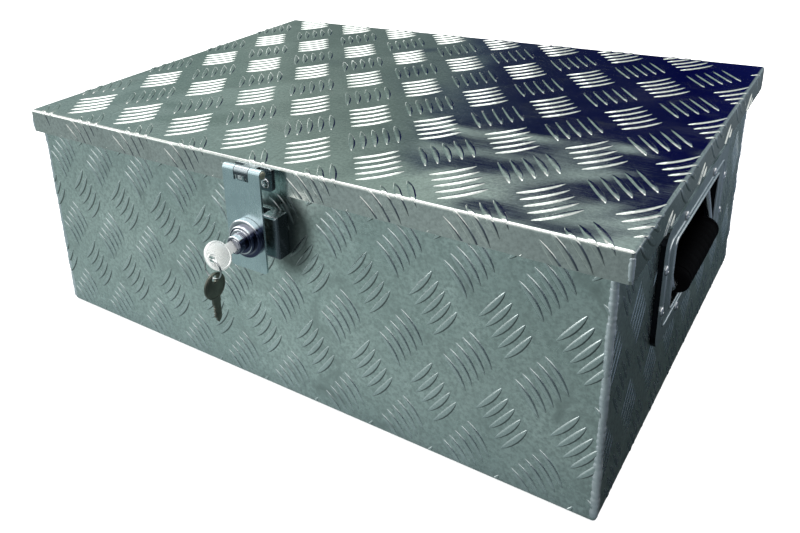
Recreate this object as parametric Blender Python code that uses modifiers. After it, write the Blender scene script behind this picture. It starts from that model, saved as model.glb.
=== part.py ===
"""Aluminium tread-plate battery box with a hinged lid, a keyed hasp latch and two recessed end handles.

Metres, +Z up. The box stands on z = 0 with its front facing -Y and its right end facing +X.
"""
import math

import bmesh
import bpy
from mathutils import Matrix, Vector

# ---- driving dimensions -----------------------------------------------------------------------------
GAP = 0.0003                # clearance between pieces that touch
LID_LENGTH = 0.600          # along X, over the lips
LID_DEPTH = 0.450           # along Y, over the lips
BOX_HEIGHT = 0.224          # floor to lid top
SHEET = 0.002               # tread-plate thickness
FOLD_RADIUS = 0.003         # outside radius of every fold
LID_LIP = 0.023             # depth of the lid's turned-down edge
OVERHANG_END = 0.0098       # lid past the body at each end
OVERHANG_FRONT = 0.0047
OVERHANG_BACK = 0.0080
RIM_FLANGE = 0.018          # inward return around the body's mouth
SEAL_WIDTH = 0.010
SEAL_HEIGHT = 0.0045
SEAL_INSET = 0.004          # body edge to seal
MAT_THICKNESS = 0.003
MAT_CLEARANCE = 0.006       # mat to walls

RIVET_RADIUS = 0.0021       # shank
RIVET_HEAD_RADIUS = 0.0042
RIVET_HEAD_HEIGHT = 0.0015
RIVET_TAIL_RADIUS = 0.0031
RIVET_TAIL_HEIGHT = 0.0014
RIVET_SIDES = 12

HINGE_SPACING = 0.380       # between the two hinges' middles
HINGE_WIDTH = 0.070
HINGE_KNUCKLES = 5
HINGE_KNUCKLE_RADIUS = 0.003
HINGE_PIN_RADIUS = 0.0015
HINGE_LEAF = 0.0012         # leaf thickness
HINGE_LEAF_CORNER = 0.003
HINGE_BODY_LEAF_DROP = 0.024
HINGE_LID_LEAF_TOP_GAP = 0.004
HINGE_LIP_CLEARANCE = 0.0006
HINGE_RIVET_SPREAD = 0.046
HEEL_LENGTH = 0.008         # stop lug that meets the body leaf when the lid is open
HEEL_THICKNESS = 0.002
HEEL_LIFT = 0.0006

HASP_WIDTH = 0.039
HASP_LENGTH = 0.088         # pin axis to lower edge
HASP_THICKNESS = 0.002
HASP_STANDOFF = 0.013       # pin axis in front of the lid lip
HASP_PIN_BELOW_TOP = 0.0028
HASP_KNUCKLE_RADIUS = 0.0042
HASP_PIN_RADIUS = 0.002
HASP_MIDDLE_KNUCKLE = 0.0150
HASP_NOTCH_DROP = 0.0070
HASP_CORNER = 0.003
BRACKET_THICKNESS = 0.0017
BRACKET_CORNER = 0.003
BRACKET_RIVET_SPREAD = 0.025

LOCK_OFFSET = 0.003         # lock axis from the hasp's centre line
LOCK_DROP = 0.0562          # pin axis to lock axis
COLLAR_RADII = (0.0170, 0.0128, 0.0104)
COLLAR_HEIGHTS = (0.0060, 0.0040, 0.0008)
COLLAR_EDGE = 0.0006        # chamfer
LOCK_SHANK_RADIUS = 0.0082
LOCK_SHANK_LENGTH = 0.0092  # plate front to shank end
PLUG_HEAD_RADIUS = 0.0080
PLUG_HEAD_HEIGHT = 0.0075
PLUG_HEAD_EDGE = 0.0008
PLUG_RADIUS = 0.0058
NUT_RADIUS = 0.0125
NUT_HEIGHT = 0.0040
CAM_THICKNESS = 0.002
CAM_WIDTH = 0.009
CAM_CORNER = 0.002
CAM_LENGTH = 0.017          # lock axis to cam tip
CAM_BEHIND_SHANK = 0.0022
CAM_SCREW_RADIUS = 0.0018
CAM_SCREW_HEAD_RADIUS = 0.0038
CAM_SCREW_HEAD_HEIGHT = 0.0022
CAM_SCREW_HEAD_EDGE = 0.0008
CAM_SCREW_DEPTH = 0.0040

STAPLE_WIDTH = 0.049
STAPLE_HEIGHT = 0.038
STAPLE_DEPTH = 0.0140
STAPLE_WALL = 0.0015
STAPLE_EDGE = 0.002         # outside bend radius
STAPLE_ABOVE_LOCK = 0.0185
STAPLE_SLOT_CLEARANCE = 0.0013
STAPLE_RIVET_Z = 0.010      # rivet height above the staple's lower edge
STAPLE_RIVET_SPREAD = 0.034

KEY_ANGLE = math.radians(52)  # tilt of the key's flat from level, seen from the front
KEY_THICKNESS = 0.0020
KEY_BLADE_WIDTH = 0.0076
KEY_BLADE_LENGTH = 0.0220   # inside the plug
KEY_NECK_LENGTH = 0.0065    # plug face to bow
KEY_NECK_WIDTH = 0.0095
KEY_BOW_RADIUS = 0.0125
KEY_HOLE_RADIUS = 0.0028
KEY_HOLE_OFFSET = 0.0072    # bow centre to hole centre
SPARE_BOW_RADIUS = 0.0115
SPARE_HOLE_OFFSET = 0.0068
SPARE_BLADE_LENGTH = 0.0175
SPARE_NECK_LENGTH = 0.0040
SPARE_NECK_WIDTH = 0.0086
RING_RADIUS = 0.0085
RING_WIRE_RADIUS = 0.0008

HANDLE_LENGTH = 0.224       # plate along Y
HANDLE_HEIGHT = 0.102       # plate along Z
HANDLE_TOP_DROP = 0.019     # lid lip's lower edge to plate top
HANDLE_CORNER = 0.014
HANDLE_PROUD = 0.0040
HANDLE_SHEET = 0.0015
DISH_LENGTH = 0.153         # inside
DISH_HEIGHT = 0.061
DISH_DEPTH = 0.0165         # below the body's end face, inside
DISH_CORNER = 0.006
BAIL_ROD_RADIUS = 0.0034
BAIL_SPAN = 0.136           # between the arms' centre lines
BAIL_BEND = 0.0045          # centre-line radius of its bends
BAIL_END = 0.0005           # rod end past the dish wall
BAIL_PIVOT_DEPTH = 0.0050   # pivot axis behind the end face
BAIL_PIVOT_DROP = 0.0085    # dish top to pivot axis
GRIP_RADIUS = 0.0118
GRIP_LENGTH = 0.112
GRIP_EDGE = 0.0035
GRIP_PROUD = 0.0020         # grip axis in front of the end face
GRIP_CLEARANCE = 0.0030     # grip to dish floor edge
HANDLE_RIVET_SIDE = 0.0095  # plate edge to rivet, on the end strips
HANDLE_RIVET_ROW = 0.0095   # plate edge to rivet, on the long strips
HANDLE_RIVET_RISE = 0.018   # end-strip rivets above and below the middle
HANDLE_RIVET_REACH = 0.050  # long-strip rivets from the middle

# ---- places that follow from them -------------------------------------------------------------------
END_X = LID_LENGTH / 2 - OVERHANG_END
FRONT_Y = -LID_DEPTH / 2 + OVERHANG_FRONT
BACK_Y = LID_DEPTH / 2 - OVERHANG_BACK
LID_FRONT_Y = -LID_DEPTH / 2
LID_BACK_Y = LID_DEPTH / 2
LIP_Z = BOX_HEIGHT - LID_LIP
RIM_Z = BOX_HEIGHT - SHEET - SEAL_HEIGHT - 2 * GAP

HINGE_Y = BACK_Y + GAP + HINGE_KNUCKLE_RADIUS
HINGE_Z = LIP_Z - HINGE_LIP_CLEARANCE - HINGE_KNUCKLE_RADIUS
LEAF_CLEARANCE = HINGE_KNUCKLE_RADIUS + HINGE_LIP_CLEARANCE
BODY_LEAF_TOP = HINGE_Z - LEAF_CLEARANCE
LID_LEAF_Y = LID_BACK_Y - SHEET - GAP - HINGE_LEAF
LID_LEAF_TOP = BOX_HEIGHT - SHEET - HINGE_LID_LEAF_TOP_GAP

HASP_PIN_Y = LID_FRONT_Y - HASP_STANDOFF
HASP_PIN_Z = BOX_HEIGHT - HASP_PIN_BELOW_TOP
PLATE_FRONT = HASP_PIN_Y - HASP_KNUCKLE_RADIUS + 0.0001
PLATE_BACK = PLATE_FRONT + HASP_THICKNESS
LOCK_Z = HASP_PIN_Z - LOCK_DROP
HOUSING_FRONT = PLATE_FRONT - GAP - sum(COLLAR_HEIGHTS)
SHANK_END = PLATE_FRONT + LOCK_SHANK_LENGTH
PLUG_FRONT = HOUSING_FRONT - GAP - PLUG_HEAD_HEIGHT
CAM_FRONT = SHANK_END + CAM_BEHIND_SHANK
PLUG_END = CAM_FRONT - GAP
KEY_BOW_Y = PLUG_FRONT - KEY_NECK_LENGTH - KEY_BOW_RADIUS
KEY_HOLE_Y = KEY_BOW_Y - KEY_HOLE_OFFSET
SPARE_HOLE_Z = LOCK_Z - 2 * RING_RADIUS
STAPLE_TOP = LOCK_Z + STAPLE_ABOVE_LOCK
STAPLE_LOW = STAPLE_TOP - STAPLE_HEIGHT
STAPLE_FRONT = FRONT_Y - GAP - STAPLE_DEPTH

HANDLE_TOP = LIP_Z - HANDLE_TOP_DROP
HANDLE_Z = HANDLE_TOP - HANDLE_HEIGHT / 2
BAIL_PIVOT_Z = HANDLE_Z + DISH_HEIGHT / 2 - BAIL_PIVOT_DROP
GRIP_Z = HANDLE_Z - DISH_HEIGHT / 2 + GRIP_CLEARANCE + GRIP_RADIUS

EPS = 0.001                 # how far cutters run past the faces they open
SINK = 0.00005              # how far a joined lump sits inside its sheet's faces
PIN_SIDES = 12
BORE_SIDES = 16
KNUCKLE_SIDES = 16
ROUND_SIDES = 24
LOCK_AIM = (math.radians(90), 0, 0)   # turns local +Z to point out of the front, along -Y


# ---- scene and material helpers ---------------------------------------------------------------------
def clear_scene():
    for obj in list(bpy.data.objects):
        bpy.data.objects.remove(obj, do_unlink=True)


def new_collection(name):
    collection = bpy.data.collections.new(name)
    bpy.context.scene.collection.children.link(collection)
    return collection


def make_material(name, colour, metallic, roughness):
    material = bpy.data.materials.new(name)
    material.use_nodes = True
    shader = material.node_tree.nodes["Principled BSDF"]
    shader.inputs["Base Color"].default_value = (*colour, 1.0)
    shader.inputs["Metallic"].default_value = metallic
    shader.inputs["Roughness"].default_value = roughness
    return material


# ---- solid helpers ----------------------------------------------------------------------------------
def add_box(bm, low, high):
    """A box between two corners; returns its vertices."""
    size = Vector(high) - Vector(low)
    centre = (Vector(high) + Vector(low)) / 2
    matrix = Matrix.Translation(centre) @ Matrix.Diagonal((*size, 1.0))
    return bmesh.ops.create_cube(bm, size=1.0, matrix=matrix)["verts"]


def bevel_edges(bm, verts, radius, segments, along=None, keep=None):
    """Round a box's edges: all, or those along one axis, or those that a test keeps."""
    edges = {edge for vert in verts for edge in vert.link_edges}
    if along is not None:
        edges = {e for e in edges if abs((e.verts[0].co - e.verts[1].co).normalized()[along]) > 0.99}
    if keep is not None:
        edges = {e for e in edges if keep((e.verts[0].co + e.verts[1].co) / 2)}
    bmesh.ops.bevel(bm, geom=sorted(edges, key=lambda e: e.index), offset=radius, segments=segments,
                    profile=0.5, affect="EDGES")


def add_rod(bm, start, end, radius, sides):
    """A capped cylinder between two points."""
    start, end = Vector(start), Vector(end)
    turn = Vector((0, 0, 1)).rotation_difference(end - start).to_matrix().to_4x4()
    matrix = Matrix.Translation((start + end) / 2) @ turn
    bmesh.ops.create_cone(bm, cap_ends=True, segments=sides, radius1=radius, radius2=radius,
                          depth=(end - start).length, matrix=matrix)


def finish_mesh(name, bm):
    bm.normal_update()
    mesh = bpy.data.meshes.new(name)
    bm.to_mesh(mesh)
    bm.free()
    return mesh


def make_part(name, bm, material):
    mesh = finish_mesh(name, bm)
    mesh.materials.append(material)
    mesh.set_sharp_from_angle(angle=math.radians(35))
    obj = bpy.data.objects.new(name, mesh)
    PARTS.objects.link(obj)
    return obj


def make_tool(name, bm):
    """A hidden object that cuts or joins a part."""
    obj = bpy.data.objects.new(name, finish_mesh(name, bm))
    obj.hide_render = True
    obj.display_type = "WIRE"
    CUTTERS.objects.link(obj)
    return obj


def combine(part, tool, operation):
    modifier = part.modifiers.new(f"{operation.lower()}_{tool.name}", "BOOLEAN")
    modifier.operation = operation
    modifier.object = tool
    modifier.solver = "EXACT"


def cut(part, tool):
    combine(part, tool, "DIFFERENCE")


def join(part, tool):
    combine(part, tool, "UNION")


def box_tool(name, low, high):
    bm = bmesh.new()
    add_box(bm, low, high)
    return make_tool(name, bm)


def rod_tool(name, rods, sides):
    """One tool made of rods, each (start, end, radius)."""
    bm = bmesh.new()
    for start, end, radius in rods:
        add_rod(bm, start, end, radius, sides)
    return make_tool(name, bm)


def turned_part(name, profile, location, rotation, material, steps):
    """A profile of (radius, height) points, top to bottom, spun about the object's own Z."""
    bm = bmesh.new()
    verts = [bm.verts.new((radius, 0, height)) for radius, height in profile]
    for first, second in zip(verts, verts[1:]):
        bm.edges.new((first, second))
    mesh = finish_mesh(name, bm)
    mesh.materials.append(material)
    obj = bpy.data.objects.new(name, mesh)
    obj.location = location
    obj.rotation_euler = rotation
    screw = obj.modifiers.new("spin", "SCREW")
    screw.axis = "Z"
    screw.steps = steps
    screw.render_steps = steps
    screw.use_merge_vertices = True
    screw.merge_threshold = 0.00001
    screw.use_normal_calculate = False
    PARTS.objects.link(obj)
    return obj


# ---- rivets -----------------------------------------------------------------------------------------
def rivet_profile(grip):
    """Dome head above z = 0, a shank through the grip, and a set tail."""
    dome = [(RIVET_HEAD_RADIUS * math.sin(a), GAP + RIVET_HEAD_HEIGHT * math.cos(a))
            for a in (0, math.radians(45), math.radians(90))]
    low = -grip - GAP
    return dome + [(RIVET_RADIUS, GAP), (RIVET_RADIUS, low), (RIVET_TAIL_RADIUS, low),
                   (RIVET_TAIL_RADIUS, low - RIVET_TAIL_HEIGHT), (0, low - RIVET_TAIL_HEIGHT)]


def make_rivet(name, point, outward, grip, material):
    """A rivet whose head sits on the surface at point, facing outward."""
    rotation = Vector((0, 0, 1)).rotation_difference(Vector(outward)).to_euler()
    return turned_part(name, rivet_profile(grip), point, rotation, material, RIVET_SIDES)


def rivet_hole(point, outward, depth):
    """A rod for the hole that a rivet's shank passes through."""
    point, outward = Vector(point), Vector(outward).normalized()
    return point + outward * EPS, point - outward * (depth + EPS), RIVET_RADIUS + GAP


# ---- rivet places -----------------------------------------------------------------------------------
def hinge_centres():
    return {"left": -HINGE_SPACING / 2, "right": HINGE_SPACING / 2}


def hinge_rivet_offsets():
    return (-HINGE_RIVET_SPREAD / 2, HINGE_RIVET_SPREAD / 2)


def body_leaf_rivets(centre):
    z = BODY_LEAF_TOP - HINGE_BODY_LEAF_DROP / 2
    return [(centre + dx, BACK_Y + GAP + HINGE_LEAF, z) for dx in hinge_rivet_offsets()]


def lid_leaf_rivets(centre):
    z = (LIP_Z + LID_LEAF_TOP) / 2
    return [(centre + dx, LID_BACK_Y, z) for dx in hinge_rivet_offsets()]


def bracket_rivets():
    z = (LIP_Z + HASP_PIN_Z - HASP_KNUCKLE_RADIUS) / 2
    y = LID_FRONT_Y - GAP - BRACKET_THICKNESS
    return [(dx, y, z) for dx in (-BRACKET_RIVET_SPREAD / 2, BRACKET_RIVET_SPREAD / 2)]


def staple_rivets():
    y = FRONT_Y - GAP - STAPLE_WALL
    z = STAPLE_LOW + STAPLE_RIVET_Z
    return [(LOCK_OFFSET + dx, y, z) for dx in (-STAPLE_RIVET_SPREAD / 2, STAPLE_RIVET_SPREAD / 2)]


def handle_rivets(side):
    """Rivet points on one handle plate: two on each end strip, two on each long strip."""
    x = side * (END_X + HANDLE_PROUD)
    y = HANDLE_LENGTH / 2 - HANDLE_RIVET_SIDE
    z = HANDLE_HEIGHT / 2 - HANDLE_RIVET_ROW
    points = [(x, sy * y, HANDLE_Z + sz * HANDLE_RIVET_RISE) for sy in (-1, 1) for sz in (-1, 1)]
    points += [(x, sy * HANDLE_RIVET_REACH, HANDLE_Z + sz * z) for sy in (-1, 1) for sz in (-1, 1)]
    return points


# ---- case -------------------------------------------------------------------------------------------
def build_body_pan(material):
    """Folded tray: floor, four walls and a return flange around the mouth."""
    bm = bmesh.new()
    verts = add_box(bm, (-END_X, FRONT_Y, 0), (END_X, BACK_Y, RIM_Z))
    bevel_edges(bm, verts, FOLD_RADIUS, 3)
    pan = make_part("body_pan", bm, material)

    bm = bmesh.new()
    verts = add_box(bm, (-END_X + SHEET, FRONT_Y + SHEET, SHEET),
                    (END_X - SHEET, BACK_Y - SHEET, RIM_Z - SHEET))
    bevel_edges(bm, verts, FOLD_RADIUS - SHEET, 1)
    cut(pan, make_tool("body_cavity", bm))

    bm = bmesh.new()
    verts = add_box(bm, (-END_X + RIM_FLANGE, FRONT_Y + RIM_FLANGE, RIM_Z - SHEET - EPS),
                    (END_X - RIM_FLANGE, BACK_Y - RIM_FLANGE, RIM_Z + EPS))
    bevel_edges(bm, verts, FOLD_RADIUS, 3, along=2)
    cut(pan, make_tool("body_mouth", bm))

    for side, name in ((-1, "left"), (1, "right")):
        limits = dish_limits(side, HANDLE_SHEET + 2 * GAP, 2 * SHEET + HANDLE_PROUD)
        cut(pan, box_tool(f"dish_opening_{name}", *limits))

    rods = []
    for centre in hinge_centres().values():
        rods += [rivet_hole(p, (0, 1, 0), SHEET + HINGE_LEAF) for p in body_leaf_rivets(centre)]
    rods += [rivet_hole(p, (0, -1, 0), SHEET + STAPLE_WALL) for p in staple_rivets()]
    rods += [rivet_hole(p, (side, 0, 0), HANDLE_PROUD + SHEET) for side in (-1, 1) for p in handle_rivets(side)]
    cut(pan, rod_tool("body_rivet_holes", rods, RIVET_SIDES))
    return pan


def build_lid_pan(material):
    """Folded lid: top sheet with four turned-down lips."""
    bm = bmesh.new()
    verts = add_box(bm, (-LID_LENGTH / 2, LID_FRONT_Y, LIP_Z), (LID_LENGTH / 2, LID_BACK_Y, BOX_HEIGHT))
    bevel_edges(bm, verts, FOLD_RADIUS, 3, keep=lambda middle: middle.z > LIP_Z + EPS)
    lid = make_part("lid_pan", bm, material)

    bm = bmesh.new()
    verts = add_box(bm, (-LID_LENGTH / 2 + SHEET, LID_FRONT_Y + SHEET, LIP_Z - EPS),
                    (LID_LENGTH / 2 - SHEET, LID_BACK_Y - SHEET, BOX_HEIGHT - SHEET))
    bevel_edges(bm, verts, FOLD_RADIUS - SHEET, 1, keep=lambda middle: middle.z > LIP_Z)
    cut(lid, make_tool("lid_cavity", bm))

    rods = []
    for centre in hinge_centres().values():
        rods += [rivet_hole(p, (0, 1, 0), SHEET) for p in lid_leaf_rivets(centre)]
    rods += [rivet_hole(p, (0, -1, 0), SHEET + BRACKET_THICKNESS) for p in bracket_rivets()]
    cut(lid, rod_tool("lid_rivet_holes", rods, RIVET_SIDES))
    return lid


def build_rim_seal(material):
    """Rubber strip all round the rim, pressed by the lid."""
    low_z = RIM_Z + GAP
    high_z = low_z + SEAL_HEIGHT
    outer = SEAL_INSET
    inner = SEAL_INSET + SEAL_WIDTH
    bm = bmesh.new()
    verts = add_box(bm, (-END_X + outer, FRONT_Y + outer, low_z),
                    (END_X - outer, BACK_Y - outer, high_z))
    bevel_edges(bm, verts, FOLD_RADIUS, 2, along=2)
    seal = make_part("rim_seal", bm, material)
    bm = bmesh.new()
    verts = add_box(bm, (-END_X + inner, FRONT_Y + inner, low_z - EPS),
                    (END_X - inner, BACK_Y - inner, high_z + EPS))
    bevel_edges(bm, verts, FOLD_RADIUS, 2, along=2)
    cut(seal, make_tool("seal_inside", bm))
    return seal


def build_floor_mat(material):
    """Rubber mat that the battery stands on."""
    inset = SHEET + MAT_CLEARANCE
    bm = bmesh.new()
    verts = add_box(bm, (-END_X + inset, FRONT_Y + inset, SHEET + GAP),
                    (END_X - inset, BACK_Y - inset, SHEET + GAP + MAT_THICKNESS))
    bevel_edges(bm, verts, 2 * FOLD_RADIUS, 3, along=2)
    return make_part("floor_mat", bm, material)


# ---- rear hinges ------------------------------------------------------------------------------------
def knuckle_spans(centre, first):
    """X ranges of every other knuckle of one hinge, starting with the given one."""
    pitch = HINGE_WIDTH / HINGE_KNUCKLES
    start = centre - HINGE_WIDTH / 2
    return [(start + i * pitch + GAP / 2, start + (i + 1) * pitch - GAP / 2)
            for i in range(first, HINGE_KNUCKLES, 2)]


def boxes_tool(name, spans, y_range, z_range):
    """One tool made of a box for each X range."""
    bm = bmesh.new()
    for low, high in spans:
        add_box(bm, (low, y_range[0], z_range[0]), (high, y_range[1], z_range[1]))
    return make_tool(name, bm)


def add_knuckles(leaf, name, spans, necks, heels=None):
    """Join necks, round knuckles and any heels to a leaf, then bore them for the pin."""
    join(leaf, necks)
    rods = [((low, HINGE_Y, HINGE_Z), (high, HINGE_Y, HINGE_Z), HINGE_KNUCKLE_RADIUS) for low, high in spans]
    join(leaf, rod_tool(f"{name}_knuckles", rods, KNUCKLE_SIDES))
    if heels is not None:
        join(leaf, heels)
    start = (spans[0][0] - EPS, HINGE_Y, HINGE_Z)
    end = (spans[-1][1] + EPS, HINGE_Y, HINGE_Z)
    cut(leaf, rod_tool(f"{name}_bore", [(start, end, HINGE_PIN_RADIUS + GAP)], PIN_SIDES))


def build_body_leaf(name, centre, material):
    low_y = BACK_Y + GAP
    bm = bmesh.new()
    verts = add_box(bm, (centre - HINGE_WIDTH / 2, low_y, BODY_LEAF_TOP - HINGE_BODY_LEAF_DROP),
                    (centre + HINGE_WIDTH / 2, low_y + HINGE_LEAF, BODY_LEAF_TOP))
    bevel_edges(bm, verts, HINGE_LEAF_CORNER, 3, along=1, keep=lambda middle: middle.z < BODY_LEAF_TOP - EPS)
    leaf = make_part(name, bm, material)
    spans = knuckle_spans(centre, 0)
    necks = boxes_tool(f"{name}_necks", spans, (low_y + SINK, low_y + HINGE_LEAF),
                       (BODY_LEAF_TOP - EPS, HINGE_Z))
    add_knuckles(leaf, name, spans, necks)
    rods = [rivet_hole(p, (0, 1, 0), HINGE_LEAF) for p in body_leaf_rivets(centre)]
    cut(leaf, rod_tool(f"{name}_rivet_holes", rods, RIVET_SIDES))
    return leaf


def build_lid_leaf(name, centre, material):
    """The leaf inside the lid's back lip, with heels that stop the open lid."""
    bottom = HINGE_Z + LEAF_CLEARANCE
    high_y = LID_LEAF_Y + HINGE_LEAF
    bm = bmesh.new()
    verts = add_box(bm, (centre - HINGE_WIDTH / 2, LID_LEAF_Y, bottom),
                    (centre + HINGE_WIDTH / 2, high_y, LID_LEAF_TOP))
    bevel_edges(bm, verts, HINGE_LEAF_CORNER, 3, along=1, keep=lambda middle: middle.z > bottom + EPS)
    leaf = make_part(name, bm, material)
    spans = knuckle_spans(centre, 1)
    heel_z = HINGE_Z + HEEL_LIFT
    narrow = [(low + EPS, high - EPS) for low, high in spans]
    heels = boxes_tool(f"{name}_heels", narrow, (HINGE_Y, HINGE_Y + HEEL_LENGTH),
                       (heel_z, heel_z + HEEL_THICKNESS))
    necks = boxes_tool(f"{name}_necks", spans, (LID_LEAF_Y, high_y - SINK), (HINGE_Z, bottom + EPS))
    add_knuckles(leaf, name, spans, necks, heels)
    rods = [rivet_hole(p, (0, 1, 0), SHEET + GAP + HINGE_LEAF) for p in lid_leaf_rivets(centre)]
    cut(leaf, rod_tool(f"{name}_rivet_holes", rods, RIVET_SIDES))
    return leaf


def build_hinge_pin(name, centre, material):
    bm = bmesh.new()
    half = HINGE_WIDTH / 2
    ends = (centre - half, HINGE_Y, HINGE_Z), (centre + half, HINGE_Y, HINGE_Z)
    add_rod(bm, *ends, HINGE_PIN_RADIUS, PIN_SIDES)
    return make_part(name, bm, material)


# ---- hasp latch -------------------------------------------------------------------------------------
def build_latch_bracket(material):
    """Plate riveted to the lid's front lip, with the middle knuckle of the hasp's hinge."""
    back = LID_FRONT_Y - GAP
    half = HASP_WIDTH / 2
    middle = HASP_MIDDLE_KNUCKLE / 2 - GAP
    bm = bmesh.new()
    verts = add_box(bm, (-half, back - BRACKET_THICKNESS, LIP_Z + EPS), (half, back, HASP_PIN_Z + EPS))
    bevel_edges(bm, verts, BRACKET_CORNER, 3, along=1)
    bracket = make_part("latch_bracket", bm, material)
    web = box_tool("latch_bracket_web", (-middle, HASP_PIN_Y + HASP_PIN_RADIUS + GAP, HASP_PIN_Z - EPS),
                   (middle, back - BRACKET_THICKNESS / 2, HASP_PIN_Z + EPS - SINK))
    join(bracket, web)
    knuckle = ((-middle, HASP_PIN_Y, HASP_PIN_Z), (middle, HASP_PIN_Y, HASP_PIN_Z), HASP_KNUCKLE_RADIUS)
    join(bracket, rod_tool("latch_bracket_knuckle", [knuckle], ROUND_SIDES))
    bore = ((-half, HASP_PIN_Y, HASP_PIN_Z), (half, HASP_PIN_Y, HASP_PIN_Z), HASP_PIN_RADIUS + GAP)
    cut(bracket, rod_tool("latch_bracket_bore", [bore], BORE_SIDES))
    rods = [rivet_hole(p, (0, -1, 0), BRACKET_THICKNESS) for p in bracket_rivets()]
    cut(bracket, rod_tool("latch_bracket_rivet_holes", rods, RIVET_SIDES))
    return bracket


def build_latch_pin(material):
    half = HASP_WIDTH / 2 - GAP
    bm = bmesh.new()
    add_rod(bm, (-half, HASP_PIN_Y, HASP_PIN_Z), (half, HASP_PIN_Y, HASP_PIN_Z), HASP_PIN_RADIUS, BORE_SIDES)
    return make_part("latch_pin", bm, material)


def build_hasp_plate(material):
    """Flat plate that hangs from the pin, with a rolled knuckle on each side of a notch."""
    half = HASP_WIDTH / 2
    notch = HASP_MIDDLE_KNUCKLE / 2 + GAP
    bm = bmesh.new()
    verts = add_box(bm, (-half, PLATE_FRONT, HASP_PIN_Z - HASP_LENGTH), (half, PLATE_BACK, HASP_PIN_Z))
    bevel_edges(bm, verts, HASP_CORNER, 3, along=1, keep=lambda middle: middle.z < HASP_PIN_Z - EPS)
    plate = make_part("hasp_plate", bm, material)
    rods = []
    for side in (-1, 1):
        ends = (side * notch, HASP_PIN_Y, HASP_PIN_Z), (side * half, HASP_PIN_Y, HASP_PIN_Z)
        rods.append((*ends, HASP_KNUCKLE_RADIUS))
    join(plate, rod_tool("hasp_knuckles", rods, ROUND_SIDES))
    reach = HASP_KNUCKLE_RADIUS + EPS
    cut(plate, box_tool("hasp_notch", (-notch, HASP_PIN_Y - reach, HASP_PIN_Z - HASP_NOTCH_DROP),
                        (notch, HASP_PIN_Y + reach, HASP_PIN_Z + reach)))
    ends = (-half - EPS, HASP_PIN_Y, HASP_PIN_Z), (half + EPS, HASP_PIN_Y, HASP_PIN_Z)
    cut(plate, rod_tool("hasp_pin_bore", [(*ends, HASP_PIN_RADIUS + GAP)], BORE_SIDES))
    ends = lock_point(PLATE_FRONT - EPS), lock_point(PLATE_BACK + EPS)
    cut(plate, rod_tool("hasp_lock_hole", [(*ends, LOCK_SHANK_RADIUS + GAP)], ROUND_SIDES))
    return plate



def lock_point(y):
    return (LOCK_OFFSET, y, LOCK_Z)


def build_lock_housing(material):
    """Stepped chrome collar in front of the plate, with a threaded shank behind it."""
    height = sum(COLLAR_HEIGHTS)
    bore = PLUG_RADIUS + GAP
    profile = [(bore, height)]
    level = height
    for radius, step in zip(reversed(COLLAR_RADII), reversed(COLLAR_HEIGHTS)):
        profile += [(radius - COLLAR_EDGE, level), (radius, level - COLLAR_EDGE)]
        level -= step
        profile += [(radius, level)]
    end = -GAP - LOCK_SHANK_LENGTH
    profile += [(LOCK_SHANK_RADIUS, 0), (LOCK_SHANK_RADIUS, end), (bore, end), (bore, height)]
    return turned_part("lock_housing", profile, lock_point(PLATE_FRONT - GAP), LOCK_AIM, material, 32)


def build_lock_nut(material):
    """Hexagon nut that clamps the lock in the hasp plate."""
    bm = bmesh.new()
    front = PLATE_BACK + GAP
    add_rod(bm, lock_point(front), lock_point(front + NUT_HEIGHT), NUT_RADIUS, 6)
    nut = make_part("lock_nut", bm, material)
    bore = (lock_point(front - EPS), lock_point(front + NUT_HEIGHT + EPS), LOCK_SHANK_RADIUS + GAP)
    cut(nut, rod_tool("lock_nut_bore", [bore], ROUND_SIDES))
    return nut


def build_lock_plug(material):
    """Turning plug: round head, long shaft, keyway and a tapped hole for the cam screw."""
    length = PLUG_END - PLUG_FRONT
    radius, edge = PLUG_HEAD_RADIUS, PLUG_HEAD_EDGE
    profile = [(0, length), (radius - edge, length), (radius, length - edge),
               (radius, length - PLUG_HEAD_HEIGHT), (PLUG_RADIUS, length - PLUG_HEAD_HEIGHT),
               (PLUG_RADIUS, 0), (0, 0)]
    plug = turned_part("lock_plug", profile, lock_point(PLUG_END), LOCK_AIM, material, ROUND_SIDES)
    bm = bmesh.new()
    half_width = KEY_THICKNESS / 2 + GAP
    half_height = KEY_BLADE_WIDTH / 2 + GAP
    add_box(bm, (-half_height, PLUG_FRONT - EPS, -half_width),
            (half_height, PLUG_FRONT + KEY_BLADE_LENGTH + GAP, half_width))
    bmesh.ops.transform(bm, matrix=key_frame(), verts=bm.verts)
    cut(plug, make_tool("keyway", bm))
    hole = (lock_point(PLUG_END + EPS), lock_point(PLUG_END - CAM_SCREW_DEPTH - GAP), CAM_SCREW_RADIUS + GAP)
    cut(plug, rod_tool("plug_screw_hole", [hole], PIN_SIDES))
    return plug


def build_lock_cam(material):
    """Tongue on the plug's end; it points down when unlocked."""
    half = CAM_WIDTH / 2
    x, z = LOCK_OFFSET, LOCK_Z
    bm = bmesh.new()
    verts = add_box(bm, (x - half, CAM_FRONT, z - CAM_LENGTH),
                    (x + half, CAM_FRONT + CAM_THICKNESS, z + half))
    bevel_edges(bm, verts, CAM_CORNER, 3, along=1)
    cam = make_part("lock_cam", bm, material)
    hole = (lock_point(CAM_FRONT - EPS), lock_point(CAM_FRONT + CAM_THICKNESS + EPS), CAM_SCREW_RADIUS + GAP)
    cut(cam, rod_tool("cam_screw_hole", [hole], PIN_SIDES))
    return cam


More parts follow.
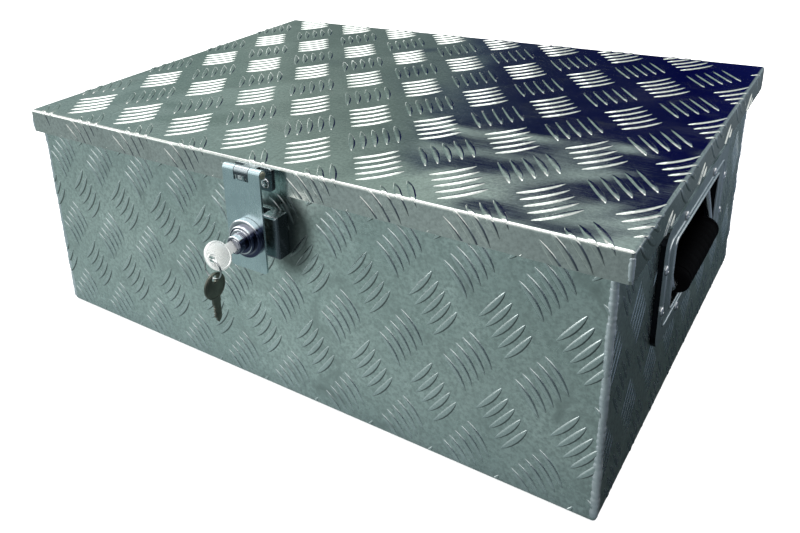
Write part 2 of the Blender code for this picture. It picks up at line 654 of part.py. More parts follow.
def build_cam_screw(material):
    shank = CAM_THICKNESS + GAP + CAM_SCREW_DEPTH
    radius, height, edge = CAM_SCREW_HEAD_RADIUS, CAM_SCREW_HEAD_HEIGHT, CAM_SCREW_HEAD_EDGE
    profile = [(0, height), (radius - edge, height), (radius, height - edge), (radius, 0),
               (CAM_SCREW_RADIUS, 0), (CAM_SCREW_RADIUS, -shank), (0, -shank)]
    base = lock_point(CAM_FRONT + CAM_THICKNESS + GAP)
    return turned_part("cam_screw", profile, base, (math.radians(-90), 0, 0), material, PIN_SIDES)


def build_latch_staple(material):
    """Box bracket on the body. Its open-topped slot lets the cam out unless the cam is turned."""
    x = LOCK_OFFSET
    half = STAPLE_WIDTH / 2
    back = FRONT_Y - GAP
    wall = STAPLE_WALL
    bm = bmesh.new()
    verts = add_box(bm, (x - half, STAPLE_FRONT, STAPLE_LOW), (x + half, back, STAPLE_TOP))
    bevel_edges(bm, verts, STAPLE_EDGE, 2, keep=lambda middle: middle.y < STAPLE_FRONT + EPS)
    staple = make_part("latch_staple", bm, material)
    cut(staple, box_tool("staple_hollow", (x - half + wall, STAPLE_FRONT + wall, STAPLE_LOW + wall),
                         (x + half - wall, back - wall, STAPLE_TOP - wall)))
    slot = max(CAM_WIDTH / 2, LOCK_SHANK_RADIUS) + STAPLE_SLOT_CLEARANCE
    slot_low = LOCK_Z - CAM_LENGTH - STAPLE_SLOT_CLEARANCE
    cut(staple, box_tool("staple_slot", (x - slot, STAPLE_FRONT - EPS, slot_low),
                         (x + slot, back - wall, STAPLE_TOP + EPS)))
    rods = [rivet_hole(p, (0, -1, 0), STAPLE_WALL) for p in staple_rivets()]
    cut(staple, rod_tool("staple_rivet_holes", rods, RIVET_SIDES))
    return staple


# ---- keys -------------------------------------------------------------------------------------------
def key_frame():
    """Turns a flat key, drawn in X and Y, to the keyway's angle on the lock axis."""
    return Matrix.Translation((LOCK_OFFSET, 0, LOCK_Z)) @ Matrix.Rotation(KEY_ANGLE, 4, "Y")


def circle_points(centre, radius, start, end, count):
    step = (end - start) / (count - 1)
    return [(centre[0] + radius * math.cos(start + i * step), centre[1] + radius * math.sin(start + i * step))
            for i in range(count)]


def key_outline(bow_radius, neck_length, neck_width, blade_width, blade_length):
    """Key outline with its bow centred on the origin and its blade along +Y."""
    spread = math.asin(neck_width / 2 / bow_radius)
    points = circle_points((0, 0), bow_radius, math.pi / 2 + spread, math.pi / 2 + 2 * math.pi - spread, 30)
    shoulder = bow_radius + neck_length
    tip = shoulder + blade_length
    half = blade_width / 2
    points += [(neck_width / 2, shoulder - GAP), (half, shoulder - GAP)]
    teeth = 6
    pitch = (blade_length - half) / teeth
    for i in range(teeth):
        depth = half * (0.55 if i % 2 else 0.25)
        y = shoulder + i * pitch
        points += [(half, y + 0.15 * pitch), (half - depth, y + 0.45 * pitch), (half - depth, y + 0.65 * pitch)]
    points += [(half * 0.4, tip - half * 0.5), (0, tip), (-half * 0.6, tip - half * 0.4)]
    points += [(-half, tip - half), (-half, shoulder - GAP), (-neck_width / 2, shoulder - GAP)]
    return points


def flat_part(name, outlines, thickness, matrix, material):
    """A flat plate from closed outlines: the first is its edge and the others are holes."""
    curve = bpy.data.curves.new(name, "CURVE")
    curve.dimensions = "2D"
    curve.fill_mode = "BOTH"
    curve.extrude = thickness / 2
    for outline in outlines:
        spline = curve.splines.new("POLY")
        spline.points.add(len(outline) - 1)
        for point, (x, y) in zip(spline.points, outline):
            point.co = (x, y, 0, 1)
        spline.use_cyclic_u = True
    curve.materials.append(material)
    obj = bpy.data.objects.new(name, curve)
    obj.matrix_world = matrix
    PARTS.objects.link(obj)
    return obj


def hole_points(centre, radius):
    return circle_points(centre, radius, 0, 2 * math.pi * 15 / 16, 16)


def build_key(material):
    outline = key_outline(KEY_BOW_RADIUS, KEY_NECK_LENGTH, KEY_NECK_WIDTH, KEY_BLADE_WIDTH, KEY_BLADE_LENGTH)
    hole = hole_points((0, -KEY_HOLE_OFFSET), KEY_HOLE_RADIUS)
    matrix = key_frame() @ Matrix.Translation((0, KEY_BOW_Y, 0))
    return flat_part("key", [outline, hole], KEY_THICKNESS, matrix, material)


def build_key_ring(material):
    """Wire ring that hangs through the key's hole."""
    curve = bpy.data.curves.new("key_ring", "CURVE")
    curve.dimensions = "3D"
    curve.bevel_depth = RING_WIRE_RADIUS
    curve.bevel_resolution = 1
    spline = curve.splines.new("POLY")
    points = circle_points((0, 0), RING_RADIUS, 0, 2 * math.pi * 31 / 32, 32)
    spline.points.add(len(points) - 1)
    for point, (x, z) in zip(spline.points, points):
        point.co = (x, 0, z, 1)
    spline.use_cyclic_u = True
    curve.materials.append(material)
    ring = bpy.data.objects.new("key_ring", curve)
    ring.location = (LOCK_OFFSET, KEY_HOLE_Y, LOCK_Z - RING_RADIUS)
    PARTS.objects.link(ring)
    return ring


def build_spare_key(material):
    """Second key, hanging blade down from the ring."""
    outline = key_outline(SPARE_BOW_RADIUS, SPARE_NECK_LENGTH, SPARE_NECK_WIDTH, KEY_BLADE_WIDTH,
                          SPARE_BLADE_LENGTH)
    hole = hole_points((0, -SPARE_HOLE_OFFSET), KEY_HOLE_RADIUS)
    hang = Matrix(((0, 0, -1, LOCK_OFFSET), (-1, 0, 0, KEY_HOLE_Y), (0, -1, 0, SPARE_HOLE_Z), (0, 0, 0, 1)))
    matrix = hang @ Matrix.Translation((0, SPARE_HOLE_OFFSET, 0))
    return flat_part("spare_key", [outline, hole], KEY_THICKNESS, matrix, material)


# ---- end handles ------------------------------------------------------------------------------------
def dish_limits(side, margin, outward):
    """Corners of a box over the dish opening, grown by a margin, from inside the wall to past the plate."""
    y = DISH_LENGTH / 2 + margin
    z = DISH_HEIGHT / 2 + margin
    inner = side * (END_X - SHEET - EPS)
    outer = side * (END_X + outward)
    return (min(inner, outer), -y, HANDLE_Z - z), (max(inner, outer), y, HANDLE_Z + z)


def sorted_corners(side, x_in, x_out, y, z):
    low_x, high_x = sorted((side * x_in, side * x_out))
    return (low_x, -y, HANDLE_Z - z), (high_x, y, HANDLE_Z + z)


def build_handle_dish(side, name, material):
    """Pressed plate with a turned-in rim and a deep dish, one piece."""
    half_y, half_z = HANDLE_LENGTH / 2, HANDLE_HEIGHT / 2
    sheet = HANDLE_SHEET
    bm = bmesh.new()
    verts = add_box(bm, *sorted_corners(side, END_X + GAP, END_X + HANDLE_PROUD, half_y, half_z))
    bevel_edges(bm, verts, HANDLE_CORNER, 4, along=0)
    dish = make_part(name, bm, material)

    bm = bmesh.new()
    verts = add_box(bm, *sorted_corners(side, END_X - EPS, END_X + HANDLE_PROUD - sheet,
                                        half_y - sheet, half_z - sheet))
    bevel_edges(bm, verts, HANDLE_CORNER - sheet, 4, along=0)
    cut(dish, make_tool(f"{name}_hollow", bm))

    inside_y, inside_z = DISH_LENGTH / 2, DISH_HEIGHT / 2
    bm = bmesh.new()
    add_box(bm, *sorted_corners(side, END_X - DISH_DEPTH - sheet, END_X + HANDLE_PROUD - 4 * SINK,
                                inside_y + sheet, inside_z + sheet))
    join(dish, make_tool(f"{name}_bowl", bm))
    bm = bmesh.new()
    verts = add_box(bm, *sorted_corners(side, END_X - DISH_DEPTH, END_X + HANDLE_PROUD + EPS,
                                        inside_y, inside_z))
    bevel_edges(bm, verts, DISH_CORNER, 2, along=0)
    cut(dish, make_tool(f"{name}_inside", bm))

    pivot_x = side * (END_X - BAIL_PIVOT_DEPTH)
    reach = inside_y + sheet + EPS
    bore = ((pivot_x, -reach, BAIL_PIVOT_Z), (pivot_x, reach, BAIL_PIVOT_Z), BAIL_ROD_RADIUS + GAP)
    cut(dish, rod_tool(f"{name}_pivot_bore", [bore], BORE_SIDES))
    rods = [rivet_hole(p, (side, 0, 0), sheet) for p in handle_rivets(side)]
    cut(dish, rod_tool(f"{name}_rivet_holes", rods, RIVET_SIDES))
    return dish


def rounded_path(corners, radius, steps):
    """A polyline through corners, each inner corner replaced by an arc."""
    corners = [Vector(c) for c in corners]
    path = [corners[0]]
    for before, corner, after in zip(corners, corners[1:], corners[2:]):
        back = (before - corner).normalized()
        ahead = (after - corner).normalized()
        half = back.angle(ahead) / 2
        trim = radius / math.tan(half)
        centre = corner + (back + ahead).normalized() * (radius / math.sin(half))
        start = corner + back * trim - centre
        turn = math.pi - 2 * half
        axis = start.cross(corner + ahead * trim - centre).normalized()
        for i in range(steps + 1):
            path.append(centre + Matrix.Rotation(turn * i / steps, 3, axis) @ start)
    path.append(corners[-1])
    return path


def build_bail(side, name, material):
    """Bent rod: two pivot ends, two arms and the bar inside the grip."""
    pivot_x = side * (END_X - BAIL_PIVOT_DEPTH)
    bar_x = side * (END_X + GRIP_PROUD)
    end_y = DISH_LENGTH / 2 + HANDLE_SHEET + BAIL_END
    arm_y = BAIL_SPAN / 2
    corners = [(pivot_x, -end_y, BAIL_PIVOT_Z), (pivot_x, -arm_y, BAIL_PIVOT_Z), (bar_x, -arm_y, GRIP_Z),
               (bar_x, arm_y, GRIP_Z), (pivot_x, arm_y, BAIL_PIVOT_Z), (pivot_x, end_y, BAIL_PIVOT_Z)]
    path = rounded_path(corners, BAIL_BEND, 4)
    curve = bpy.data.curves.new(name, "CURVE")
    curve.dimensions = "3D"
    curve.bevel_depth = BAIL_ROD_RADIUS
    curve.bevel_resolution = 3
    curve.use_fill_caps = True
    spline = curve.splines.new("POLY")
    spline.points.add(len(path) - 1)
    pivot = Vector((pivot_x, 0, BAIL_PIVOT_Z))
    for point, place in zip(spline.points, path):
        point.co = (*(place - pivot), 1)
    curve.materials.append(material)
    bail = bpy.data.objects.new(name, curve)
    bail.location = pivot
    PARTS.objects.link(bail)
    return bail


def build_grip(side, name, material):
    """Moulded rubber sleeve on the bail's bar."""
    bar_x = side * (END_X + GRIP_PROUD)
    bore = BAIL_ROD_RADIUS + GAP
    half = GRIP_LENGTH / 2
    profile = [(bore, half)]
    profile += [(GRIP_RADIUS - GRIP_EDGE + GRIP_EDGE * math.sin(a), half - GRIP_EDGE + GRIP_EDGE * math.cos(a))
                for a in (0, math.radians(45), math.radians(90))]
    profile += [(radius, -height) for radius, height in reversed(profile)]
    profile += [profile[0]]
    return turned_part(name, profile, (bar_x, 0, GRIP_Z), (math.radians(90), 0, 0), material, ROUND_SIDES)


# ---- assembly ---------------------------------------------------------------------------------------
def build_handles(steel, rod_steel, rubber, rivet_metal):
    for side, name in ((-1, "left"), (1, "right")):
        build_handle_dish(side, f"handle_dish_{name}", steel)
        build_bail(side, f"handle_bail_{name}", rod_steel)
        build_grip(side, f"handle_grip_{name}", rubber)
        for i, point in enumerate(handle_rivets(side), 1):
            make_rivet(f"handle_rivet_{name}_{i}", point, (side, 0, 0), HANDLE_PROUD + SHEET, rivet_metal)


def build_hinges(steel, pin_steel, rivet_metal):
    for name, centre in hinge_centres().items():
        build_body_leaf(f"hinge_body_leaf_{name}", centre, steel)
        build_lid_leaf(f"hinge_lid_leaf_{name}", centre, steel)
        build_hinge_pin(f"hinge_pin_{name}", centre, pin_steel)
        for i, point in enumerate(body_leaf_rivets(centre), 1):
            make_rivet(f"hinge_body_rivet_{name}_{i}", point, (0, 1, 0), HINGE_LEAF + GAP + SHEET, rivet_metal)
        for i, point in enumerate(lid_leaf_rivets(centre), 1):
            make_rivet(f"hinge_lid_rivet_{name}_{i}", point, (0, 1, 0), SHEET + GAP + HINGE_LEAF, rivet_metal)


def build_latch(steel, chrome, zinc, rivet_metal):
    build_latch_bracket(steel)
    build_latch_pin(zinc)
    build_hasp_plate(steel)
    build_lock_housing(chrome)
    build_lock_nut(zinc)
    build_lock_plug(chrome)
    build_lock_cam(zinc)
    build_cam_screw(zinc)
    build_latch_staple(steel)
    for i, point in enumerate(bracket_rivets(), 1):
        make_rivet(f"bracket_rivet_{i}", point, (0, -1, 0), BRACKET_THICKNESS + GAP + SHEET, rivet_metal)
    for i, point in enumerate(staple_rivets(), 1):
        make_rivet(f"staple_rivet_{i}", point, (0, -1, 0), STAPLE_WALL + GAP + SHEET, rivet_metal)


def build_keys(nickel, dark_nickel, wire):
    build_key(nickel)
    build_key_ring(wire)
    build_spare_key(dark_nickel)


clear_scene()
PARTS = new_collection("battery_box")
CUTTERS = new_collection("battery_box_cutters")

tread = make_material("tread_aluminium", (0.42, 0.48, 0.46), 1.0, 0.35)
stainless = make_material("satin_stainless", (0.52, 0.58, 0.60), 1.0, 0.32)
rod_metal = make_material("zinc_rod", (0.60, 0.62, 0.63), 1.0, 0.25)
plated = make_material("zinc_plated_steel", (0.48, 0.48, 0.46), 1.0, 0.40)
chrome_plate = make_material("chrome_lock", (0.80, 0.82, 0.84), 1.0, 0.08)
bright_nickel = make_material("bright_key_nickel", (0.78, 0.78, 0.74), 1.0, 0.20)
dull_nickel = make_material("dark_key_nickel", (0.30, 0.31, 0.28), 1.0, 0.35)
rivet_aluminium = make_material("rivet_aluminium", (0.70, 0.72, 0.73), 1.0, 0.25)
black_rubber = make_material("black_rubber", (0.012, 0.012, 0.013), 0.0, 0.55)

build_body_pan(tread)
build_lid_pan(tread)
build_rim_seal(black_rubber)
build_floor_mat(black_rubber)
build_hinges(stainless, plated, rivet_aluminium)
build_latch(stainless, chrome_plate, plated, rivet_aluminium)
build_keys(bright_nickel, dull_nickel, plated)
build_handles(stainless, rod_metal, black_rubber, rivet_aluminium)
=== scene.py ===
"""Looks for the tread-plate battery box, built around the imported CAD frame. Metres, +Z up, front facing -Y."""
import math
import random

import bmesh
import bpy
from mathutils import Matrix, Vector


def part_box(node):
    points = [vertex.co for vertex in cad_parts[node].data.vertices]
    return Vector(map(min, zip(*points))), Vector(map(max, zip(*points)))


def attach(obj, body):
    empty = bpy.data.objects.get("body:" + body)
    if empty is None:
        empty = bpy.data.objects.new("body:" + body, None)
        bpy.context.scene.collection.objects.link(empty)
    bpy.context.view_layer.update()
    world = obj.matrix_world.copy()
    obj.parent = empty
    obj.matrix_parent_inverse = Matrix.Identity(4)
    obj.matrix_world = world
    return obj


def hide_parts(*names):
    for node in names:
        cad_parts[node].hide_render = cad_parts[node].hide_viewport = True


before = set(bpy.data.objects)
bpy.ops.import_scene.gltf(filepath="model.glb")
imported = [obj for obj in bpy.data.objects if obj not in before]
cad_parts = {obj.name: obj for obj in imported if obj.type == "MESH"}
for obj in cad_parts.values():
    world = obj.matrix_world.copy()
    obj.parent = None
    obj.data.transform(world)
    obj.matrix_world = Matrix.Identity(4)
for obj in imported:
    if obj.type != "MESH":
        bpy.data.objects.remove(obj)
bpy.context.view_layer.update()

# ---- where the frame's pieces are ----
BODY_LOW, BODY_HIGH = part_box("body_pan")
LID_LOW, LID_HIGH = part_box("lid_pan")
HASP_LOW, HASP_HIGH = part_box("hasp_plate")
STAPLE_LOW, STAPLE_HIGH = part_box("latch_staple")
HOUSING_LOW, HOUSING_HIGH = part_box("lock_housing")
PLUG_LOW, PLUG_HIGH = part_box("lock_plug")

# ---- sizes the frame doesn't give ----
FOLD = 0.003                    # outside radius of the body's folds
LID_FOLD = 0.0024               # outside radius of the lid's folds
SHEET = 0.002
RIM_FLANGE = 0.018
BAIL_ROD = 0.0034               # radius of a handle's rod
BAIL_ARM_Y = 0.068              # how far out from the middle a handle's arms are
PLATE_BEADS = {                 # half length, half height, corner, depth under the face, section radius, sides
    "window_rim": (0.0777, 0.0317, 0.0072, 0.0004, 0.0013, 10),
    "pressed_bead": (0.0985, 0.0378, 0.011, 0.00045, 0.0012, 8),
}
COLLARS = ((0.0104, 0.0008, 0.0005), (0.0128, 0.0040, 0.0011), (0.0170, 0.0060, 0.0013))  # radius, height, rim
LOCK_AXIS = Vector(((HOUSING_LOW.x + HOUSING_HIGH.x) / 2, 0, (HOUSING_LOW.z + HOUSING_HIGH.z) / 2))

# ---- tread pattern ----
BARS_IN_GROUP = 5
BODY_PITCH = (0.0567, 0.0806)
BODY_BAR = {"length": 0.034, "half_width": 0.0029, "height": 0.0010}
END_BAR = {"length": 0.034, "half_width": 0.0029, "height": 0.0006}
BODY_FALL = (-0.264, 0.0195)    # one group of bars that fall to the right
LID_PITCH = (0.0692, 0.0980)
LID_BAR_SPACING = 1.24          # the lid's bars stand this much further apart than the body's
LID_BAR = {"length": 0.0425, "half_width": 0.0031, "height": 0.0010}
LID_RISE = (-0.254, 0.0150)     # one group of bars that rise to the right
RISE_ANGLE = math.radians(53)
FALL_ANGLE = math.radians(-54.5)
RISE_STEP = (0.0051, -0.0071)   # from one bar of a rising group to the next
FALL_STEP = (0.0051, 0.0068)
BAR_BOW = 0.0007                # how far a bar bends sideways
BAR_SINK = 0.0002               # how far a bar's foot runs into the sheet
ALONG = (-1, -0.9, -0.66, -0.34, 0, 0.34, 0.66, 0.9, 1)
ACROSS = (-1, -0.90, -0.76, -0.60, -0.48, -0.40, 0.40, 0.48, 0.60, 0.76, 0.90, 1)
TOP_FLAT = 0.42                 # how much of a bar's width is flat on top


# ---- nodes and materials ----
class Nodes:
    """A material's node tree, with short ways to add the nodes that the finishes and the cards share."""

    def __init__(self, name):
        self.material = bpy.data.materials.new(name)
        self.material.use_nodes = True
        self.tree = self.material.node_tree
        self.shader = self.tree.nodes["Principled BSDF"]
        self.place = self.add("ShaderNodeTexCoord").outputs["Object"]
        self.height = None

    def add(self, kind, **values):
        node = self.tree.nodes.new(kind)
        for key, value in values.items():
            setattr(node, key, value)
        return node

    def link(self, source, target):
        self.tree.links.new(source, target)

    def feed(self, socket, value):
        """Sets a socket to a constant, or links an output to it."""
        if isinstance(value, (int, float)):
            socket.default_value = value
        elif isinstance(value, tuple):
            socket.default_value = (*value, 1.0) if len(socket.default_value) == 4 else value
        else:
            self.link(value, socket)

    def fed(self, node, output, **inputs):
        """Sets or links a node's inputs by name, and gives back one of its outputs."""
        for name, value in inputs.items():
            self.feed(node.inputs[name.replace("_", " ")], value)
        return node.outputs[output]

    def parts(self, source):
        """The X, Y and Z outputs of a vector."""
        node = self.add("ShaderNodeSeparateXYZ")
        self.link(source, node.inputs["Vector"])
        return node.outputs

    def facing(self):
        """The X, Y and Z of the way the surface faces on the object."""
        return self.parts(self.add("ShaderNodeTexCoord").outputs["Normal"])

    def noise(self, scale, detail=3.0, roughness=0.55, stretch=(1, 1, 1), distortion=0.0, output="Fac"):
        place = self.fed(self.add("ShaderNodeMapping"), "Vector", Vector=self.place, Scale=stretch)
        return self.fed(self.add("ShaderNodeTexNoise"), output, Vector=place, Scale=scale, Detail=detail,
                        Roughness=roughness, Distortion=distortion)

    def ramp(self, source, stops):
        node = self.add("ShaderNodeValToRGB")
        elements = node.color_ramp.elements
        while len(elements) < len(stops):
            elements.new(0.5)
        for element, (position, colour) in zip(elements, stops):
            element.position = position
            element.color = (*colour, 1.0)
        self.link(source, node.inputs["Fac"])
        return node.outputs["Color"]

    def spread(self, source, low, high, low_to=0.0, high_to=1.0):
        return self.fed(self.add("ShaderNodeMapRange"), "Result", Value=source, From_Min=low, From_Max=high,
                        To_Min=low_to, To_Max=high_to)

    def maths(self, operation, first, second):
        node = self.add("ShaderNodeMath", operation=operation)
        for socket, value in zip(node.inputs, (first, second)):
            self.feed(socket, value)
        return node.outputs["Value"]

    def vector(self, operation, *values):
        node = self.add("ShaderNodeVectorMath", operation=operation)
        for socket, value in zip(node.inputs, values):
            self.feed(socket, value)
        return node.outputs["Value" if operation == "LENGTH" else "Vector"]

    def mix(self, factor, first, second, blend="MIX"):
        node = self.add("ShaderNodeMix", data_type="RGBA", blend_type=blend)
        return self.fed(node, "Result", Factor=factor, A=first, B=second)

    def bump(self, source, strength, distance):
        """Adds one more layer of relief on top of those already there."""
        below = {} if self.height is None else {"Normal": self.height}
        self.height = self.fed(self.add("ShaderNodeBump"), "Normal", Height=source, Strength=strength,
                               Distance=distance, **below)

    def finish(self, colour, roughness, **constants):
        inputs = self.shader.inputs
        self.feed(inputs["Base Color"], colour)
        self.feed(inputs["Roughness"], roughness)
        for name, value in constants.items():
            inputs[name.replace("_", " ").title().replace("Ior", "IOR")].default_value = value
        if self.height is not None:
            self.link(self.height, inputs["Normal"])
        return self.material

    def glow(self, colour):
        """Makes the material plain emission, for a card."""
        light = self.fed(self.add("ShaderNodeEmission"), "Emission", Color=colour)
        self.link(light, self.tree.nodes["Material Output"].inputs["Surface"])
        self.tree.nodes.remove(self.shader)
        return self.material


def toned(colour, factor):
    return tuple(min(1, c * factor) for c in colour)


def sheet_metal(name, light, dark, rough, grain_stretch, wave, grain=0.05, mottle=1.0, painted_shade_patch=None, painted_flank_shade=None):
    """Mill-finish sheet: cloudy tone, rolling streaks, fine speckle, smudges and a slow wave in the surface;
    where asked, a patch of painted shade, and painted shade and highlight on the bars' flanks.
    """
    n = Nodes(name)
    clouds = n.noise(9.0, 5.0, 0.62, distortion=0.4)
    streaks = n.noise(1.0, 4.0, 0.65, stretch=grain_stretch)
    speckle = n.noise(1400.0, 2.0, 0.6)
    grains = n.noise(330.0, 4.0, 0.65)
    stains = n.noise(26.0, 5.0, 0.68, distortion=0.8)
    colour = n.mix(n.spread(clouds, 0.36, 0.66), dark, light)
    colour = n.mix(n.spread(stains, 0.56, 0.74, 0, 0.55 * mottle), colour, toned(dark, 0.62))
    colour = n.mix(n.spread(stains, 0.44, 0.28, 0, 0.40 * mottle), colour, toned(light, 1.22))
    colour = n.mix(n.spread(grains, 0.40, 0.66, 0, 0.45 * mottle), colour, toned(dark, 0.74))
    # painted shade: a soft dark patch that stands in for a nearby part's shadow and dark reflection
    if painted_shade_patch:
        place, reach, depth = painted_shade_patch
        away = n.vector("DIVIDE", n.vector("SUBTRACT", n.place, place), reach)
        colour = n.mix(n.spread(n.vector("LENGTH", away), 1.0, 0.62, 0, depth), colour, toned(dark, 0.10))
    # painted shade on the bars' flanks that face down and to the right, and a painted highlight on those that
    # face up and to the left
    if painted_flank_shade:
        facing = n.facing()
        down = n.maths("SUBTRACT", n.maths("MULTIPLY", facing["X"], 0.45), facing["Z"])
        colour = n.mix(n.spread(down, 0.10, 0.42, 0, painted_flank_shade), colour, toned(dark, 0.16))
        colour = n.mix(n.spread(down, -0.16, -0.45, 0, 0.35), colour, (0.95, 1.0, 1.0))
    base = n.spread(clouds, 0.3, 0.7, rough - 0.04, rough + 0.05)
    base = n.maths("ADD", base, n.spread(streaks, 0.3, 0.7, -0.035, 0.045))
    base = n.maths("ADD", base, n.spread(stains, 0.5, 0.8, 0.0, 0.10))
    n.bump(n.noise(5.5, 2.0, 0.5, distortion=0.4), 1.0, wave)
    n.bump(streaks, grain, 0.0006)
    n.bump(speckle, grain * 1.6, 0.0002)
    return n.finish(colour, base, metallic=1.0)


def shaded_metal(name, light, dark, shade, rough, wear=0.04):
    """Polished metal with painted shade on its undersides and on its flanks that face +X, while its tops keep
    the metal's own colour.
    """
    n = Nodes(name)
    patches = n.noise(120.0, 4.0, 0.6)
    facing = n.facing()
    upward = n.maths("SUBTRACT", facing["Z"], n.maths("MULTIPLY", facing["X"], 0.9))
    bright = n.mix(n.spread(patches, 0.35, 0.7), light, dark)
    # painted shade: the dark colour goes where the surface faces down or towards +X
    colour = n.mix(n.spread(upward, -0.06, 0.18), shade, bright)
    n.bump(n.noise(1900.0, 2.0, 0.5), 0.03, 0.0001)
    return n.finish(colour, n.spread(patches, 0.35, 0.7, rough, rough + wear), metallic=1.0)


def plated_metal(name, light, dark, rough, streak, wear=0.06, metallic=1.0):
    """Plated or polished small metal: short brushing, dull patches and pinprick wear."""
    n = Nodes(name)
    patches = n.noise(90.0, 4.0, 0.6)
    brushed = n.noise(1.0, 3.0, 0.6, stretch=streak)
    colour = n.mix(n.spread(patches, 0.35, 0.7), light, dark)
    base = n.spread(patches, 0.35, 0.7, rough, rough + wear)
    base = n.maths("ADD", base, n.spread(brushed, 0.3, 0.7, 0, wear))
    n.bump(brushed, 0.05, 0.0003)
    n.bump(n.noise(1900.0, 2.0, 0.5), 0.05, 0.0001)
    return n.finish(colour, base, metallic=metallic)


def pressed_plate(name, light, dark, rough, front, face_x):
    """Handle plate: satin face, with near-black painted shade in its dish and down its front edge."""
    n = Nodes(name)
    patches = n.noise(70.0, 4.0, 0.6)
    brushed = n.noise(1.0, 3.0, 0.6, stretch=(60, 500, 60))
    colour = n.mix(n.spread(patches, 0.35, 0.7), light, dark)
    edge = n.spread(n.facing()["Y"], -0.30, -0.60)
    reach = n.maths("ABSOLUTE", n.parts(n.place)["X"], 0.0)
    deep = n.spread(reach, face_x - 0.0016, face_x - 0.0034)
    # painted shade: near-black on faces turned to the front and deep in the dish
    colour = n.mix(n.maths("MAXIMUM", edge, deep), colour, front)
    base = n.spread(patches, 0.35, 0.7, rough, rough + 0.06)
    base = n.maths("ADD", base, n.spread(brushed, 0.3, 0.7, 0, 0.06))
    n.bump(brushed, 0.05, 0.0003)
    return n.finish(colour, base, metallic=1.0)


def rubber(name, colour, dusty, rough=0.55, scale=900.0, shine=0.2):
    n = Nodes(name)
    dust = n.noise(38.0, 5.0, 0.7)
    shade = n.mix(n.spread(dust, 0.52, 0.8, 0, 0.5), colour, dusty)
    base = n.spread(dust, 0.3, 0.75, rough - 0.08, rough + 0.16)
    n.bump(n.noise(scale, 3.0, 0.6), 0.35, 0.00035)
    return n.finish(shade, base, specular_ior_level=shine)


LATCH_SHADE = ((0.028, BODY_LOW.y, 0.164), (0.028, 0.02, 0.046), 0.84)     # painted shade beside the latch, standing in for its shadow and dark reflection on the wall
DISH_FACE_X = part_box("handle_dish_right")[1].x
ALONG_GRAIN = (9, 420, 420)     # rolling streaks run along X
PLATED = {                      # light colour, dark colour, roughness, brushing, then wear and metal if unusual
    "satin_stainless": ((0.64, 0.79, 0.82), (0.53, 0.665, 0.70), 0.22, (700, 60, 60)),
    "hinge_stainless": ((0.62, 0.66, 0.68), (0.50, 0.54, 0.56), 0.26, (60, 60, 700)),
    "handle_steel": ((0.88, 0.93, 0.95), (0.74, 0.80, 0.82), 0.24, (60, 500, 60)),
    "bail_steel": ((0.74, 0.78, 0.80), (0.60, 0.63, 0.66), 0.16, (300, 60, 300)),
    "rivet_aluminium": ((0.97, 0.98, 0.99), (0.86, 0.88, 0.90), 0.20, (200, 200, 200)),
    "zinc_steel": ((0.42, 0.43, 0.34), (0.28, 0.29, 0.23), 0.34, (200, 200, 200), 0.10),
    "key_nickel": ((0.96, 0.98, 0.96), (0.84, 0.87, 0.85), 0.20, (400, 60, 400), 0.06, 0.55),
    "dark_key_nickel": ((0.17, 0.18, 0.15), (0.10, 0.105, 0.09), 0.30, (400, 60, 400)),
    "ring_wire": ((0.72, 0.74, 0.74), (0.45, 0.47, 0.48), 0.18, (60, 60, 60)),
}
SHADED = {                      # light colour, dark colour, painted shade colour, roughness, then wear if unusual
    "lock_chrome": ((0.93, 0.95, 0.97), (0.84, 0.87, 0.91), (0.055, 0.065, 0.12), 0.05),
    "staple_steel": ((0.72, 0.78, 0.80), (0.60, 0.66, 0.69), (0.14, 0.165, 0.19), 0.22, 0.08),
    "bracket_steel": ((0.60, 0.66, 0.68), (0.48, 0.54, 0.57), (0.10, 0.12, 0.14), 0.24, 0.08),
}
FINISH = {
    # the body's sheet carries the painted shade beside the latch
    "tread_aluminium": sheet_metal("tread_sheet", (0.715, 0.83, 0.79), (0.59, 0.705, 0.675), 0.29, ALONG_GRAIN,
                                   0.0022, mottle=2.0, painted_shade_patch=LATCH_SHADE),
    # the end walls' bars: a lighter copy of the sheet's colour, as painted highlight
    "end_bars": sheet_metal("end_bars", (0.80, 0.90, 0.92), (0.68, 0.78, 0.80), 0.20, ALONG_GRAIN, 0.0),
    # the front and back bars: painted shade and highlight on their flanks, and the painted shade beside the
    # latch
    "tread_bars": sheet_metal("tread_bars", (0.72, 0.83, 0.81), (0.61, 0.715, 0.70), 0.26, ALONG_GRAIN, 0.0,
                              painted_shade_patch=LATCH_SHADE, painted_flank_shade=0.85),
    "lid_tread_aluminium": sheet_metal("lid_sheet", (0.80, 0.83, 0.79), (0.70, 0.745, 0.71), 0.085, ALONG_GRAIN,
                                       0.0062, 0.02, 1.6),
    "weld": sheet_metal("weld_bead", (0.92, 0.97, 0.99), (0.76, 0.84, 0.88), 0.44, (200, 200, 200), 0.0,
                        0.12, 0.5),
    # the near-black colour is painted shade for the handle plate's dish and front edge
    "dish_steel": pressed_plate("dish_steel", (0.60, 0.68, 0.70), (0.46, 0.54, 0.56), 0.28,
                                (0.016, 0.017, 0.022), DISH_FACE_X),
    "black_rubber": rubber("black_rubber", (0.014, 0.014, 0.015), (0.06, 0.06, 0.058)),
    "grip_rubber": rubber("grip_rubber", (0.0012, 0.0012, 0.0016), (0.0030, 0.0030, 0.0040), 0.62, 1300.0,
                          0.015),
}
FINISH.update({name: plated_metal(name, *values) for name, values in PLATED.items()})
FINISH.update({name: shaded_metal(name, *values) for name, values in SHADED.items()})


# ---- piece helpers ----
def new_object(name, data):
    obj = bpy.data.objects.new(name, data)
    bpy.context.scene.collection.objects.link(obj)
    return obj


def new_mesh(name, bm):
    mesh = bpy.data.meshes.new(name)
    bm.to_mesh(mesh)
    bm.free()
    return mesh


